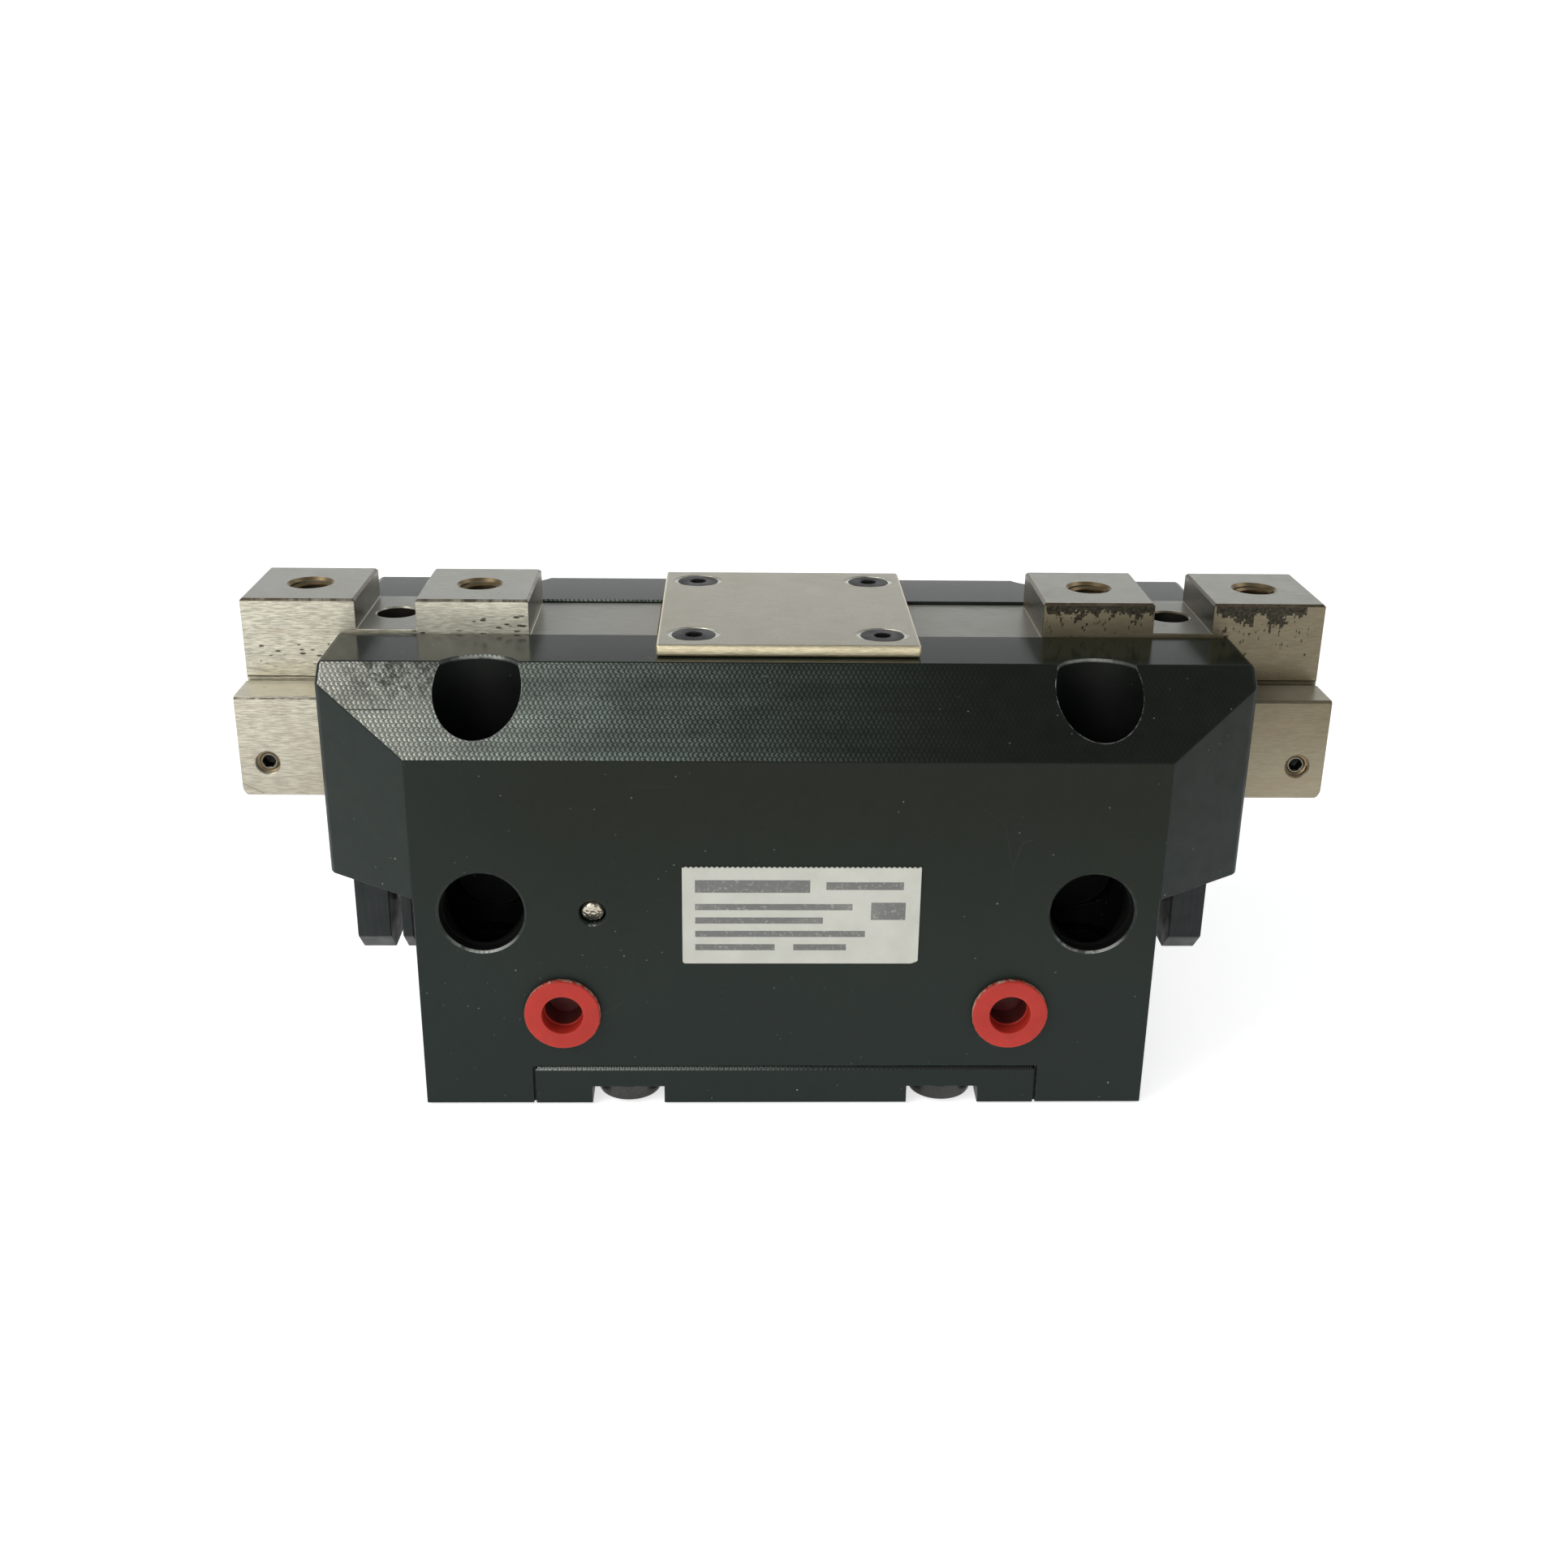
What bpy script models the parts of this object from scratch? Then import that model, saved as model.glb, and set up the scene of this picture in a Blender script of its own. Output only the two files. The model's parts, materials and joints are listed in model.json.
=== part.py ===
"""Parallel pneumatic gripper: two opposed jaws on one T-guide, driven by two pistons
in one cross bore and kept in step by a rack and pinion.

Frame: +Z up, origin at the middle of the underside, +X along the jaw travel,
-Y is the face with the air ports. Metres.
"""

import math

import bmesh
import bpy
from mathutils import Matrix, Vector

MM = 0.001

# ---------------------------------------------------------------- dimensions, mm
HALF_W = 70.0  # lower body
HALF_D = 45.65
HEIGHT = 85.5
WING_X = 87.8  # widened top part, which carries the guide
WING_Y = 33.46
WING_Z = 44.0
SLOPE_Y = 30.1  # sloped front and back facets start here at the top
SLOPE_Z = 71.6

STEM_Y = 12.0  # jaw stem, half width
FLANGE_Y = 22.5
FLANGE_Z0, FLANGE_Z1 = 55.3, 75.8
STEM_GAP = 0.4
FLANGE_GAP = 0.1
JAW_IN, JAW_OUT = 25.4, 106.1
PAD_IN = (50.3, 72.3)  # inner raised pad, along X
PAD_OUT = (83.9, 106.1)
PAD_Z, FLOOR_Z, TONGUE_Z = 92.2, 86.2, 85.0
STROKE = 25.0
JAW_BOLTS = (61.3, 95.0)
FLOOR_HOLE = 78.2

BORE_Z, BORE_R = 27.5, 15.0
PISTON_X0, PISTON_X1 = 28.6, 39.6
HEAD_X0, HEAD_X1 = 40.0, 49.8
POCKET_X, POCKET_R = 51.8, 16.0
ROD_R = 6.0
DRIVER_Y = 10.3
DRIVER_Z0 = 13.9
LIP = (77.6, 79.8)
PLATE = (82.2, 89.2)

MODULE, TEETH = 1.0, 18
BACKLASH = 0.14
CHANNEL_Y, CHANNEL_Z = 17.5, 45.5
RACK_Y = 16.9
RACK_Z0, RACK_Z1 = 46.3, 55.1
PINION_Z0, PINION_Z1 = 46.4, 54.4
AXLE_R = 3.0

PLATE_X = 48.75  # bottom plate
PLATE_T = 7.8
PLATE_BOLT = (30.7, 39.3)
COVER = (25.0, 27.0, 85.6, 87.9)
COVER_BOLT = (18.1, 19.6)

MOUNT_HOLES = (57.7, 34.4)
PORT = (42.9, 20.0)
BALL = (-36.7, 41.2)
LABEL = (-19.9, 24.7, 30.8, 50.9)

# ---------------------------------------------------------------- scene set-up
for old in list(bpy.data.objects):
    bpy.data.objects.remove(old, do_unlink=True)

parts = bpy.data.collections.new("pneumatic_gripper")
cutters = bpy.data.collections.new("cutters")
for c in (parts, cutters):
    bpy.context.scene.collection.children.link(c)


def finish_material(name, colour, rough, metal):
    m = bpy.data.materials.new(name)
    m.use_nodes = True
    b = m.node_tree.nodes["Principled BSDF"]
    b.inputs["Base Color"].default_value = (*colour, 1)
    b.inputs["Roughness"].default_value = rough
    b.inputs["Metallic"].default_value = metal
    return m


BODY = finish_material("anodised_body", (0.035, 0.040, 0.036), 0.45, 0.7)
STEEL = finish_material("ground_steel", (0.46, 0.44, 0.40), 0.35, 0.9)
PLATED = finish_material("plated_cover", (0.40, 0.38, 0.33), 0.40, 0.9)
BLACK = finish_material("black_steel", (0.012, 0.012, 0.013), 0.40, 0.6)
DARK = finish_material("dark_block", (0.020, 0.024, 0.025), 0.50, 0.4)
RED = finish_material("red_plug", (0.55, 0.05, 0.03), 0.45, 0.0)
WHITE = finish_material("label_film", (0.82, 0.82, 0.80), 0.55, 0.0)
RUBBER = finish_material("seal_rubber", (0.015, 0.015, 0.015), 0.80, 0.0)
BRONZE = finish_material("bush_bronze", (0.45, 0.25, 0.10), 0.40, 0.9)
ALUMINIUM = finish_material("turned_aluminium", (0.60, 0.60, 0.60), 0.35, 0.9)

AXES = {"X": Vector((1, 0, 0)), "Y": Vector((0, 1, 0)), "Z": Vector((0, 0, 1))}


def add(name, mesh, material=None, cutter=False):
    obj = bpy.data.objects.new(name, mesh)
    (cutters if cutter else parts).objects.link(obj)
    if material:
        mesh.materials.append(material)
    if cutter:
        obj.hide_render = True
        obj.display_type = "WIRE"
    return obj


def from_bmesh(name, bm, material=None, cutter=False):
    bmesh.ops.recalc_face_normals(bm, faces=bm.faces)
    mesh = bpy.data.meshes.new(name)
    bm.to_mesh(mesh)
    bm.free()
    return add(name, mesh, material, cutter)


def box(name, x, y, z, material=None, cutter=False, chamfer=0.0):
    """A cube primitive between the given limits in mm."""
    bm = bmesh.new()
    bmesh.ops.create_cube(bm, size=1.0)
    size = Vector((x[1] - x[0], y[1] - y[0], z[1] - z[0])) * MM
    mid = Vector((x[1] + x[0], y[1] + y[0], z[1] + z[0])) * (MM / 2)
    bmesh.ops.scale(bm, vec=size, verts=bm.verts)
    bmesh.ops.translate(bm, vec=mid, verts=bm.verts)
    obj = from_bmesh(name, bm, material, cutter)
    if chamfer:
        b = obj.modifiers.new("chamfer", "BEVEL")
        b.width = chamfer * MM
        b.segments = 1
        b.limit_method = "ANGLE"
    return obj


def rod(name, r, start, end, material=None, cutter=False, seg=24, r2=None):
    """A cylinder or cone primitive from start to end, in mm."""
    a, b = Vector(start) * MM, Vector(end) * MM
    bm = bmesh.new()
    bmesh.ops.create_cone(
        bm, cap_ends=True, segments=seg, radius1=r * MM,
        radius2=(r if r2 is None else r2) * MM, depth=(b - a).length,
    )
    turn = Vector((0, 0, 1)).rotation_difference((b - a).normalized()).to_matrix().to_4x4()
    bmesh.ops.transform(bm, matrix=Matrix.Translation((a + b) / 2) @ turn, verts=bm.verts)
    return from_bmesh(name, bm, material, cutter)


def turned(name, profile, place, axis, material=None, cutter=False, seg=24):
    """A turned piece: profile is (radius, height) from top to bottom down its outer
    side, in mm, revolved about axis, which passes through place."""
    mesh = bpy.data.meshes.new(name)
    pts = [(r * MM, 0, h * MM) for r, h in profile]
    closed = profile[0] == profile[-1]
    if closed:
        pts = pts[:-1]
    n = len(pts)
    edges = [(i, (i + 1) % n) for i in range(n if closed else n - 1)]
    mesh.from_pydata(pts, edges, [])
    obj = add(name, mesh, material, cutter)
    s = obj.modifiers.new("turn", "SCREW")
    s.axis = "Z"
    s.steps = s.render_steps = seg
    s.use_merge_vertices = True
    s.merge_threshold = 0.00001
    s.use_smooth_shade = True
    obj.location = Vector(place) * MM
    obj.rotation_mode = "QUATERNION"
    obj.rotation_quaternion = Vector((0, 0, 1)).rotation_difference(Vector(axis))
    return obj


def outline(name, points, lo, hi, plane, material=None, cutter=False):
    """A flat outline in mm, extruded from lo to hi along the axis normal to plane."""
    curve = bpy.data.curves.new(name, "CURVE")
    curve.dimensions = "2D"
    curve.fill_mode = "BOTH"
    curve.extrude = (hi - lo) / 2 * MM
    spline = curve.splines.new("POLY")
    spline.points.add(len(points) - 1)
    for p, (u, v) in zip(spline.points, points):
        p.co = (u * MM, v * MM, 0, 1)
    spline.use_cyclic_u = True
    guide = bpy.data.objects.new(name + "_outline", curve)
    cutters.objects.link(guide)
    mid = (lo + hi) / 2 * MM
    if plane == "XY":
        m = Matrix.Translation((0, 0, mid))
    elif plane == "YZ":
        m = Matrix.Translation((mid, 0, 0)) @ Matrix(((0, 0, 1, 0), (1, 0, 0, 0), (0, 1, 0, 0), (0, 0, 0, 1)))
    else:  # XZ
        m = Matrix.Translation((0, mid, 0)) @ Matrix(((1, 0, 0, 0), (0, 0, -1, 0), (0, 1, 0, 0), (0, 0, 0, 1)))
    guide.matrix_world = m
    bpy.context.view_layer.update()
    graph = bpy.context.evaluated_depsgraph_get()
    mesh = bpy.data.meshes.new_from_object(guide.evaluated_get(graph))
    bm = bmesh.new()
    bm.from_mesh(mesh)
    bmesh.ops.remove_doubles(bm, verts=bm.verts, dist=1e-7)
    bmesh.ops.transform(bm, matrix=guide.matrix_world, verts=bm.verts)
    bpy.data.objects.remove(guide)
    return from_bmesh(name, bm, material, cutter)


def cut(target, *tools, operation="DIFFERENCE"):
    for tool in tools:
        m = target.modifiers.new(tool.name, "BOOLEAN")
        m.operation = operation
        m.object = tool
        m.solver = "EXACT"
    return target


def hole(target, name, r, start, end, seg=24, chamfer=0.0):
    """A round hole from its mouth at start to end, with an optional chamfer."""
    a, b = Vector(start), Vector(end)
    deep, c = (b - a).length, chamfer
    profile = [(0, 0.6), (r + c + 0.6, 0.6), (r, -c), (r, -deep), (0, -deep)]
    if not c:
        profile = [(0, 0.6), (r, 0.6), (r, -deep), (0, -deep)]
    tool = turned(name, profile, a, a - b, cutter=True, seg=seg)
    cut(target, tool)


# ---------------------------------------------------------------- housing
wing = [
    (HALF_W, -HALF_D), (WING_X, -WING_Y), (WING_X, WING_Y), (HALF_W, HALF_D),
    (-HALF_W, HALF_D), (-WING_X, WING_Y), (-WING_X, -WING_Y), (-HALF_W, -HALF_D),
]
housing = outline("housing", wing, WING_Z, HEIGHT, "XY", BODY)
lower = box("lower_body", (-HALF_W, HALF_W), (-HALF_D, HALF_D), (0, WING_Z + 3), cutter=True)
cut(housing, lower, operation="UNION")
for s in (-1, 1):
    # sloped facets along the front and back top edges
    k = (HEIGHT - SLOPE_Z) / (HALF_D - SLOPE_Y)
    tri = [
        (s * (SLOPE_Y - 2 / k), HEIGHT + 2), (s * (HALF_D + 2), SLOPE_Z - 2 * k), (s * (HALF_D + 2), HEIGHT + 2),
    ]
    cut(housing, outline(f"slope_{s}", tri, -WING_X - 5, WING_X + 5, "YZ", cutter=True))

FY = FLANGE_Y + FLANGE_GAP
SY = STEM_Y + STEM_GAP
guide_way = [
    (-FY, FLANGE_Z0 - FLANGE_GAP), (-CHANNEL_Y, FLANGE_Z0 - FLANGE_GAP), (-CHANNEL_Y, CHANNEL_Z),
    (CHANNEL_Y, CHANNEL_Z), (CHANNEL_Y, FLANGE_Z0 - FLANGE_GAP), (FY, FLANGE_Z0 - FLANGE_GAP),
    (FY, FLANGE_Z1 + FLANGE_GAP), (SY, FLANGE_Z1 + FLANGE_GAP), (SY, HEIGHT + 1),
    (-SY, HEIGHT + 1), (-SY, FLANGE_Z1 + FLANGE_GAP), (-FY, FLANGE_Z1 + FLANGE_GAP),
]
cut(housing, outline("guide_way", guide_way, -WING_X - 1, WING_X + 1, "YZ", cutter=True))
cut(housing, rod("cylinder_bore", BORE_R, (-HALF_W - 1, 0, BORE_Z), (HALF_W + 1, 0, BORE_Z), cutter=True, seg=32))
for s, side in ((-1, "left"), (1, "right")):
    cut(
        housing,
        rod(f"pocket_{side}", POCKET_R, (s * POCKET_X, 0, BORE_Z), (s * (HALF_W + 1), 0, BORE_Z), cutter=True, seg=32),
        box(f"driver_slot_{side}", sorted((s * POCKET_X, s * (HALF_W + 1))), (-10.75, 10.75), (BORE_Z, CHANNEL_Z + 2), cutter=True),
        box(f"wing_slot_{side}", sorted((s * (HALF_W - 1), s * (WING_X + 1))), (-CHANNEL_Y, CHANNEL_Y), (WING_Z - 1, CHANNEL_Z + 2), cutter=True),
        rod(f"circlip_groove_{side}", BORE_R + 0.7, (s * 50.0, 0, BORE_Z), (s * 51.3, 0, BORE_Z), cutter=True, seg=32),
    )
    for f, face in ((-1, "front"), (1, "back")):
        x, y = s * MOUNT_HOLES[0], f * MOUNT_HOLES[1]
        hole(housing, f"mount_bore_{side}_{face}", 8.15, (x, y, HEIGHT), (x, y, 30.0), seg=24)
        hole(housing, f"mount_through_{side}_{face}", 4.5, (x, y, -0.1), (x, y, 31.0), seg=12)
        hole(housing, f"side_bore_{side}_{face}", 8.0, (s * 57.4, f * HALF_D, 41.2), (s * 57.4, f * (HALF_D - 20), 41.2), seg=28, chamfer=0.4)
        hole(housing, f"cover_thread_{side}_{face}", 2.15, (s * COVER_BOLT[0], f * COVER_BOLT[1], HEIGHT), (s * COVER_BOLT[0], f * COVER_BOLT[1], 78.2), seg=8)
        hole(housing, f"base_thread_{side}_{face}", 3.4, (s * PLATE_BOLT[0], f * PLATE_BOLT[1], 8.0), (s * PLATE_BOLT[0], f * PLATE_BOLT[1], 22.0), seg=8)
    hole(housing, f"port_{side}", 4.85, (s * PORT[0], -HALF_D, PORT[1]), (s * PORT[0], -33.5, PORT[1]), seg=16)
    cut(housing, rod(f"feed_{side}", 1.2, (s * 38.2, -22.0, PORT[1]), (s * 38.2, -12.0, PORT[1]), cutter=True, seg=6))
cut(
    housing,
    rod("gallery", 1.5, (-39.9, -21.0, PORT[1]), (44.5, -21.0, PORT[1]), cutter=True, seg=6),
    rod("port_drilling_right", 1.8, (PORT[0] - 0.3, -34.5, PORT[1] + 0.1), (PORT[0] - 0.3, -20.3, PORT[1] + 0.1), cutter=True, seg=6),
    rod("port_drilling_left", 1.5, (-PORT[0], -34.5, PORT[1]), (-24.0, -13.0, 28.0), cutter=True, seg=6),
)
hole(housing, "ball_seat", 2.45, (BALL[0], -HALF_D, BALL[1]), (BALL[0], -37.0, BALL[1]), seg=12)
cut(housing, box("base_recess", (-PLATE_X - 0.35, PLATE_X + 0.35), (-HALF_D - 1, HALF_D + 1), (-1, PLATE_T + 0.35), cutter=True))
cut(
    housing,
    turned(
        "axle_bore",
        [(0, 0.6), (5.2, 0.6), (5.2, -3.1), (AXLE_R + 0.1, -3.1), (AXLE_R + 0.1, -38.7), (0, -38.7)],
        (0, 0, PLATE_T), (0, 0, -1), cutter=True, seg=16,
    ),
)

# ---------------------------------------------------------------- covers and fixings
cover = box("top_cover_plate", (-COVER[0], COVER[0]), (-COVER[1], COVER[1]), COVER[2:], PLATED, chamfer=0.4)
base = box("bottom_plate", (-PLATE_X, PLATE_X), (-HALF_D, HALF_D), (0, PLATE_T), BODY, chamfer=0.3)
for s, side in ((-1, "left"), (1, "right")):
    for f, face in ((-1, "front"), (1, "back")):
        x, y = s * COVER_BOLT[0], f * COVER_BOLT[1]
        z1 = COVER[3]
        cut(
            cover,
            turned(
                f"cover_sink_{side}_{face}",
                [(0, 0.5), (4.85, 0.5), (2.25, -2.1), (2.25, -4.0), (0, -4.0)],
                (x, y, z1), (0, 0, 1), cutter=True, seg=16,
            ),
        )
        screw = turned(
            f"cover_screw_{side}_{face}",
            [(0, 0), (4.0, 0), (1.95, -2.1), (1.95, -9.0), (0, -9.0)],
            (x, y, z1 - 0.1), (0, 0, 1), BLACK, seg=12,
        )
        cut(screw, rod(f"cover_hex_{side}_{face}", 1.45, (x, y, z1 - 1.7), (x, y, z1 + 1), cutter=True, seg=6))
        x, y = s * PLATE_BOLT[0], f * PLATE_BOLT[1]
        cut(
            base,
            rod(f"base_clear_{side}_{face}", 3.5, (x, y, -1), (x, y, PLATE_T + 1), cutter=True, seg=12),
            rod(f"base_sink_{side}_{face}", 7.0, (x, y, -1), (x, y, 3.7), cutter=True, seg=16),
            box(f"base_notch_{side}_{face}", (x - 7.0, x + 7.0), sorted((y, f * (HALF_D + 1))), (-1, 3.7), cutter=True),
        )
        screw = turned(
            f"base_screw_{side}_{face}",
            [(0, 19.8), (2.95, 19.8), (2.95, 3.3), (6.2, 3.3), (6.2, 0), (0, 0)],
            (x, y, 0.3), (0, 0, 1), BLACK, seg=12,
        )
        cut(screw, rod(f"base_hex_{side}_{face}", 2.3, (x, y, -1), (x, y, 2.6), cutter=True, seg=6))
turned("axle_seal", [(5.0, 1.9), (5.0, 0), (3.15, 0), (3.15, 1.9), (5.0, 1.9)], (0, 0, 8.5), (0, 0, 1), RUBBER, seg=12)
turned("pinion_axle", [(0, 46.2), (2.6, 46.2), (AXLE_R, 45.8), (AXLE_R, 0.4), (2.6, 0), (0, 0)], (0, 0, 8.4), (0, 0, 1), STEEL, seg=16)

# ---------------------------------------------------------------- pinion
pinion_at = bpy.data.objects.new("pinion_axis", None)
parts.objects.link(pinion_at)


def gear_outline():
    """One involute spur gear, a tooth centred on -Y."""
    pitch_r = MODULE * TEETH / 2
    base_r = pitch_r * math.cos(math.radians(20))
    tip_r, root_r = pitch_r + 0.92 * MODULE, pitch_r - 1.25 * MODULE

    def inv(r):
        a = math.acos(min(1.0, base_r / r))
        return math.tan(a) - a

    half = (math.pi * MODULE / 2 - BACKLASH) / (2 * pitch_r)

    def at(r):
        return half + inv(pitch_r) - inv(max(r, base_r))

    radii = [root_r, base_r, pitch_r, tip_r]
    pts = []
    for t in range(TEETH):
        mid = -math.pi / 2 + t * 2 * math.pi / TEETH
        side = [(r, -at(r)) for r in radii] + [(r, at(r)) for r in reversed(radii)]
        pts += [(r * math.cos(mid + a), r * math.sin(mid + a)) for r, a in side]
    return pts


pinion = outline("pinion_gear", gear_outline(), PINION_Z0, PINION_Z1, "XY", STEEL)
cut(pinion, rod("pinion_hole", 4.3, (0, 0, PINION_Z0 - 1), (0, 0, PINION_Z1 + 1), cutter=True, seg=16))
bush = turned("pinion_bush", [(4.15, 7.9), (4.15, 0.1), (3.12, 0.1), (3.12, 7.9), (4.15, 7.9)], (0, 0, PINION_Z0), (0, 0, 1), BRONZE, seg=16)
for o in (pinion, bush):
    o.parent = pinion_at


def rack_outline(first, last):
    """Straight 20 degree teeth facing +Y, for the rack on the front side; a tooth space
    is centred on X = 0."""
    p = math.pi * MODULE
    pitch_y, tip_y, root_y = -MODULE * TEETH / 2, -MODULE * TEETH / 2 + 0.92 * MODULE, -MODULE * TEETH / 2 - 1.25 * MODULE
    half = (p / 2 - BACKLASH) / 2
    t = math.tan(math.radians(20))
    tip, root = half - (tip_y - pitch_y) * t, half + (pitch_y - root_y) * t
    pts = [(first * p, -RACK_Y), (last * p, -RACK_Y), (last * p, root_y)]
    for k in range(last - 1, first - 1, -1):
        c = (k + 0.5) * p
        pts += [(c + root, root_y), (c + tip, tip_y), (c - tip, tip_y), (c - root, root_y)]
    pts.append((first * p, root_y))
    return pts


# ---------------------------------------------------------------- the two jaw units
for s, side in ((-1, "left"), (1, "right")):
    axis = bpy.data.objects.new(f"{side}_jaw_slide", None)
    parts.objects.link(axis)
    axis.location = (s * 65.75 * MM, 0, (FLANGE_Z0 + FLANGE_Z1) / 2 * MM)
    made = []

    def X(a, b):
        return sorted((s * a, s * b))

    # jaw: pads, floor and tongue cut out of one T-section bar
    half_t = [
        (FLANGE_Y - 0.5, FLANGE_Z0), (FLANGE_Y, FLANGE_Z0 + 0.5), (FLANGE_Y, FLANGE_Z1 - 0.5), (FLANGE_Y - 0.5, FLANGE_Z1),
        (STEM_Y + 0.7, FLANGE_Z1), (STEM_Y + 0.7, FLANGE_Z1 - 0.6), (STEM_Y - 0.2, FLANGE_Z1 - 0.6), (STEM_Y - 0.2, FLANGE_Z1 + 0.5),
        (STEM_Y, FLANGE_Z1 + 0.8), (STEM_Y, PAD_Z - 0.4), (STEM_Y - 0.4, PAD_Z),
    ]
    full = half_t + [(-y, z) for y, z in reversed(half_t)]
    jaw = outline(f"base_jaw_{side}", full, *X(JAW_IN, JAW_OUT), "YZ", STEEL)
    cut(
        jaw,
        box(f"pad_gap_{side}", X(PAD_IN[1], PAD_OUT[0]), (-20, 20), (FLOOR_Z, PAD_Z + 1), cutter=True),
        box(f"tongue_gap_{side}", X(JAW_IN - 1, PAD_IN[0]), (-20, 20), (TONGUE_Z, PAD_Z + 1), cutter=True),
    )
    for i, x in enumerate(JAW_BOLTS):
        hole(jaw, f"jaw_thread_{side}_{i}", 4.0, (s * x, 0, PAD_Z), (s * x, 0, 70.0), seg=20, chamfer=0.5)
    hole(jaw, f"driver_screw_bore_{side}", 4.0, (s * FLOOR_HOLE, 0, FLOOR_Z), (s * FLOOR_HOLE, 0, 64.0), seg=16)
    hole(jaw, f"driver_screw_clear_{side}", 2.3, (s * FLOOR_HOLE, 0, FLANGE_Z0), (s * FLOOR_HOLE, 0, 65.0), seg=8)
    hole(jaw, f"grub_bore_{side}", 2.25, (s * 100.7, -FLANGE_Y, 62.2), (s * 100.7, -8.0, 62.2), seg=12)
    made.append(jaw)

    grub = rod(f"set_screw_{side}", 2.05, (s * 100.7, -21.3, 62.2), (s * 100.7, -12.0, 62.2), BLACK, seg=12)
    cut(grub, rod(f"grub_hex_{side}", 1.15, (s * 100.7, -22, 62.2), (s * 100.7, -19.0, 62.2), cutter=True, seg=6))
    made.append(grub)

    # driver: a bracket bolted under the jaw, whose forked lip holds the rod's button
    half_section = [(DRIVER_Y, 55.1), (DRIVER_Y, DRIVER_Z0 + 4.6), (DRIVER_Y - 4.6, DRIVER_Z0)]
    driver_section = half_section + [(-y, z) for y, z in reversed(half_section)]
    driver = outline(f"driver_{side}", driver_section, *X(68.5, PLATE[1]), "YZ", DARK)
    cut(
        driver,
        box(f"driver_relief_{side}", X(60.0, LIP[0]), (-12, 12), (10, 46.0), cutter=True),
        box(f"button_slit_{side}", X(LIP[1], PLATE[0]), (-12, 12), (10, 46.0), cutter=True),
        box(f"neck_slot_{side}", X(LIP[0] - 1, LIP[1] + 0.5), (-4.2, 4.2), (10, BORE_Z), cutter=True),
        rod(f"neck_round_{side}", 4.2, (s * (LIP[0] - 1), 0, BORE_Z), (s * (LIP[1] + 0.5), 0, BORE_Z), cutter=True, seg=24),
        rod(f"driver_thread_{side}", 2.15, (s * FLOOR_HOLE, 0, 47.0), (s * FLOOR_HOLE, 0, 56.0), cutter=True, seg=12),
    )
    made.append(driver)
    dscrew = turned(
        f"driver_screw_{side}",
        [(0, 4.0), (3.5, 4.0), (3.5, 0), (2.0, 0), (2.0, -16.2), (0, -16.2)],
        (s * FLOOR_HOLE, 0, 64.2), (0, 0, 1), BLACK, seg=12,
    )
    cut(dscrew, rod(f"driver_hex_{side}", 1.7, (s * FLOOR_HOLE, 0, 66.0), (s * FLOOR_HOLE, 0, 70.0), cutter=True, seg=6))
    made.append(dscrew)

    # piston rod with spigot, neck and button; the profile is along the slide axis
    along = (s, 0, 0)
    rod_profile = [
        (0, 81.8), (5.5, 81.8), (5.5, 80.1), (4.0, 80.1), (4.0, 77.3), (ROD_R, 77.3),
        (ROD_R, PISTON_X1 + 0.2), (4.0, PISTON_X1 + 0.2), (4.0, PISTON_X0 + 0.1), (0, PISTON_X0 + 0.1),
    ]
    made.append(turned(f"piston_rod_{side}", rod_profile, (0, 0, BORE_Z), along, STEEL, seg=20))
    R = BORE_R - 0.2
    piston_profile = [
        (R, PISTON_X1), (R, 38.2), (12.3, 38.2), (12.3, 35.2), (R, 35.2), (R, 33.4), (12.0, 33.4),
        (12.0, 30.4), (R, 30.4), (R, PISTON_X0), (4.2, PISTON_X0), (4.2, PISTON_X1), (R, PISTON_X1),
    ]
    made.append(turned(f"piston_{side}", piston_profile, (0, 0, BORE_Z), along, ALUMINIUM, seg=24))

    def ring(name, r0, r1, x0, x1, material, seg=20):
        prof = [(r1, x1), (r1, x0), (r0, x0), (r0, x1), (r1, x1)]
        return turned(name, prof, (0, 0, BORE_Z), along, material, seg=seg)

    made.append(ring(f"magnet_ring_{side}", 12.5, 14.6, 35.4, 38.0, BLACK))
    made.append(ring(f"piston_seal_{side}", 12.2, 14.85, 30.6, 33.2, RUBBER))

    # rack, screwed under the jaw from below
    rack = outline(f"rack_{side}", rack_outline(-21, 2), RACK_Z0, RACK_Z1, "XY", STEEL)
    if s > 0:
        rack.data.transform(Matrix.Rotation(math.pi, 4, "Z"))
    for i, x in enumerate((34.0, 60.0)):
        px, py = s * x, s * 13.75
        cut(
            rack,
            rod(f"rack_clear_{side}_{i}", 1.7, (px, py, RACK_Z0 - 1), (px, py, RACK_Z1 + 1), cutter=True, seg=8),
            rod(f"rack_sink_{side}_{i}", 2.85, (px, py, RACK_Z0 - 1), (px, py, 49.8), cutter=True, seg=12),
        )
        hole(jaw, f"rack_thread_{side}_{i}", 1.65, (px, py, FLANGE_Z0), (px, py, 63.0), seg=8)
        rscrew = turned(
            f"rack_screw_{side}_{i + 1}",
            [(0, 15.2), (1.45, 15.2), (1.45, 2.9), (2.65, 2.9), (2.65, 0), (0, 0)],
            (px, py, 46.6), (0, 0, 1), BLACK, seg=10,
        )
        cut(rscrew, rod(f"rack_hex_{side}_{i}", 1.3, (px, py, 46.0), (px, py, 48.2), cutter=True, seg=6))
        made.append(rscrew)
    made.append(rack)
    for o in made:
        o.parent = axis
        o.matrix_parent_inverse = Matrix.Translation(-axis.location)

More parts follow.
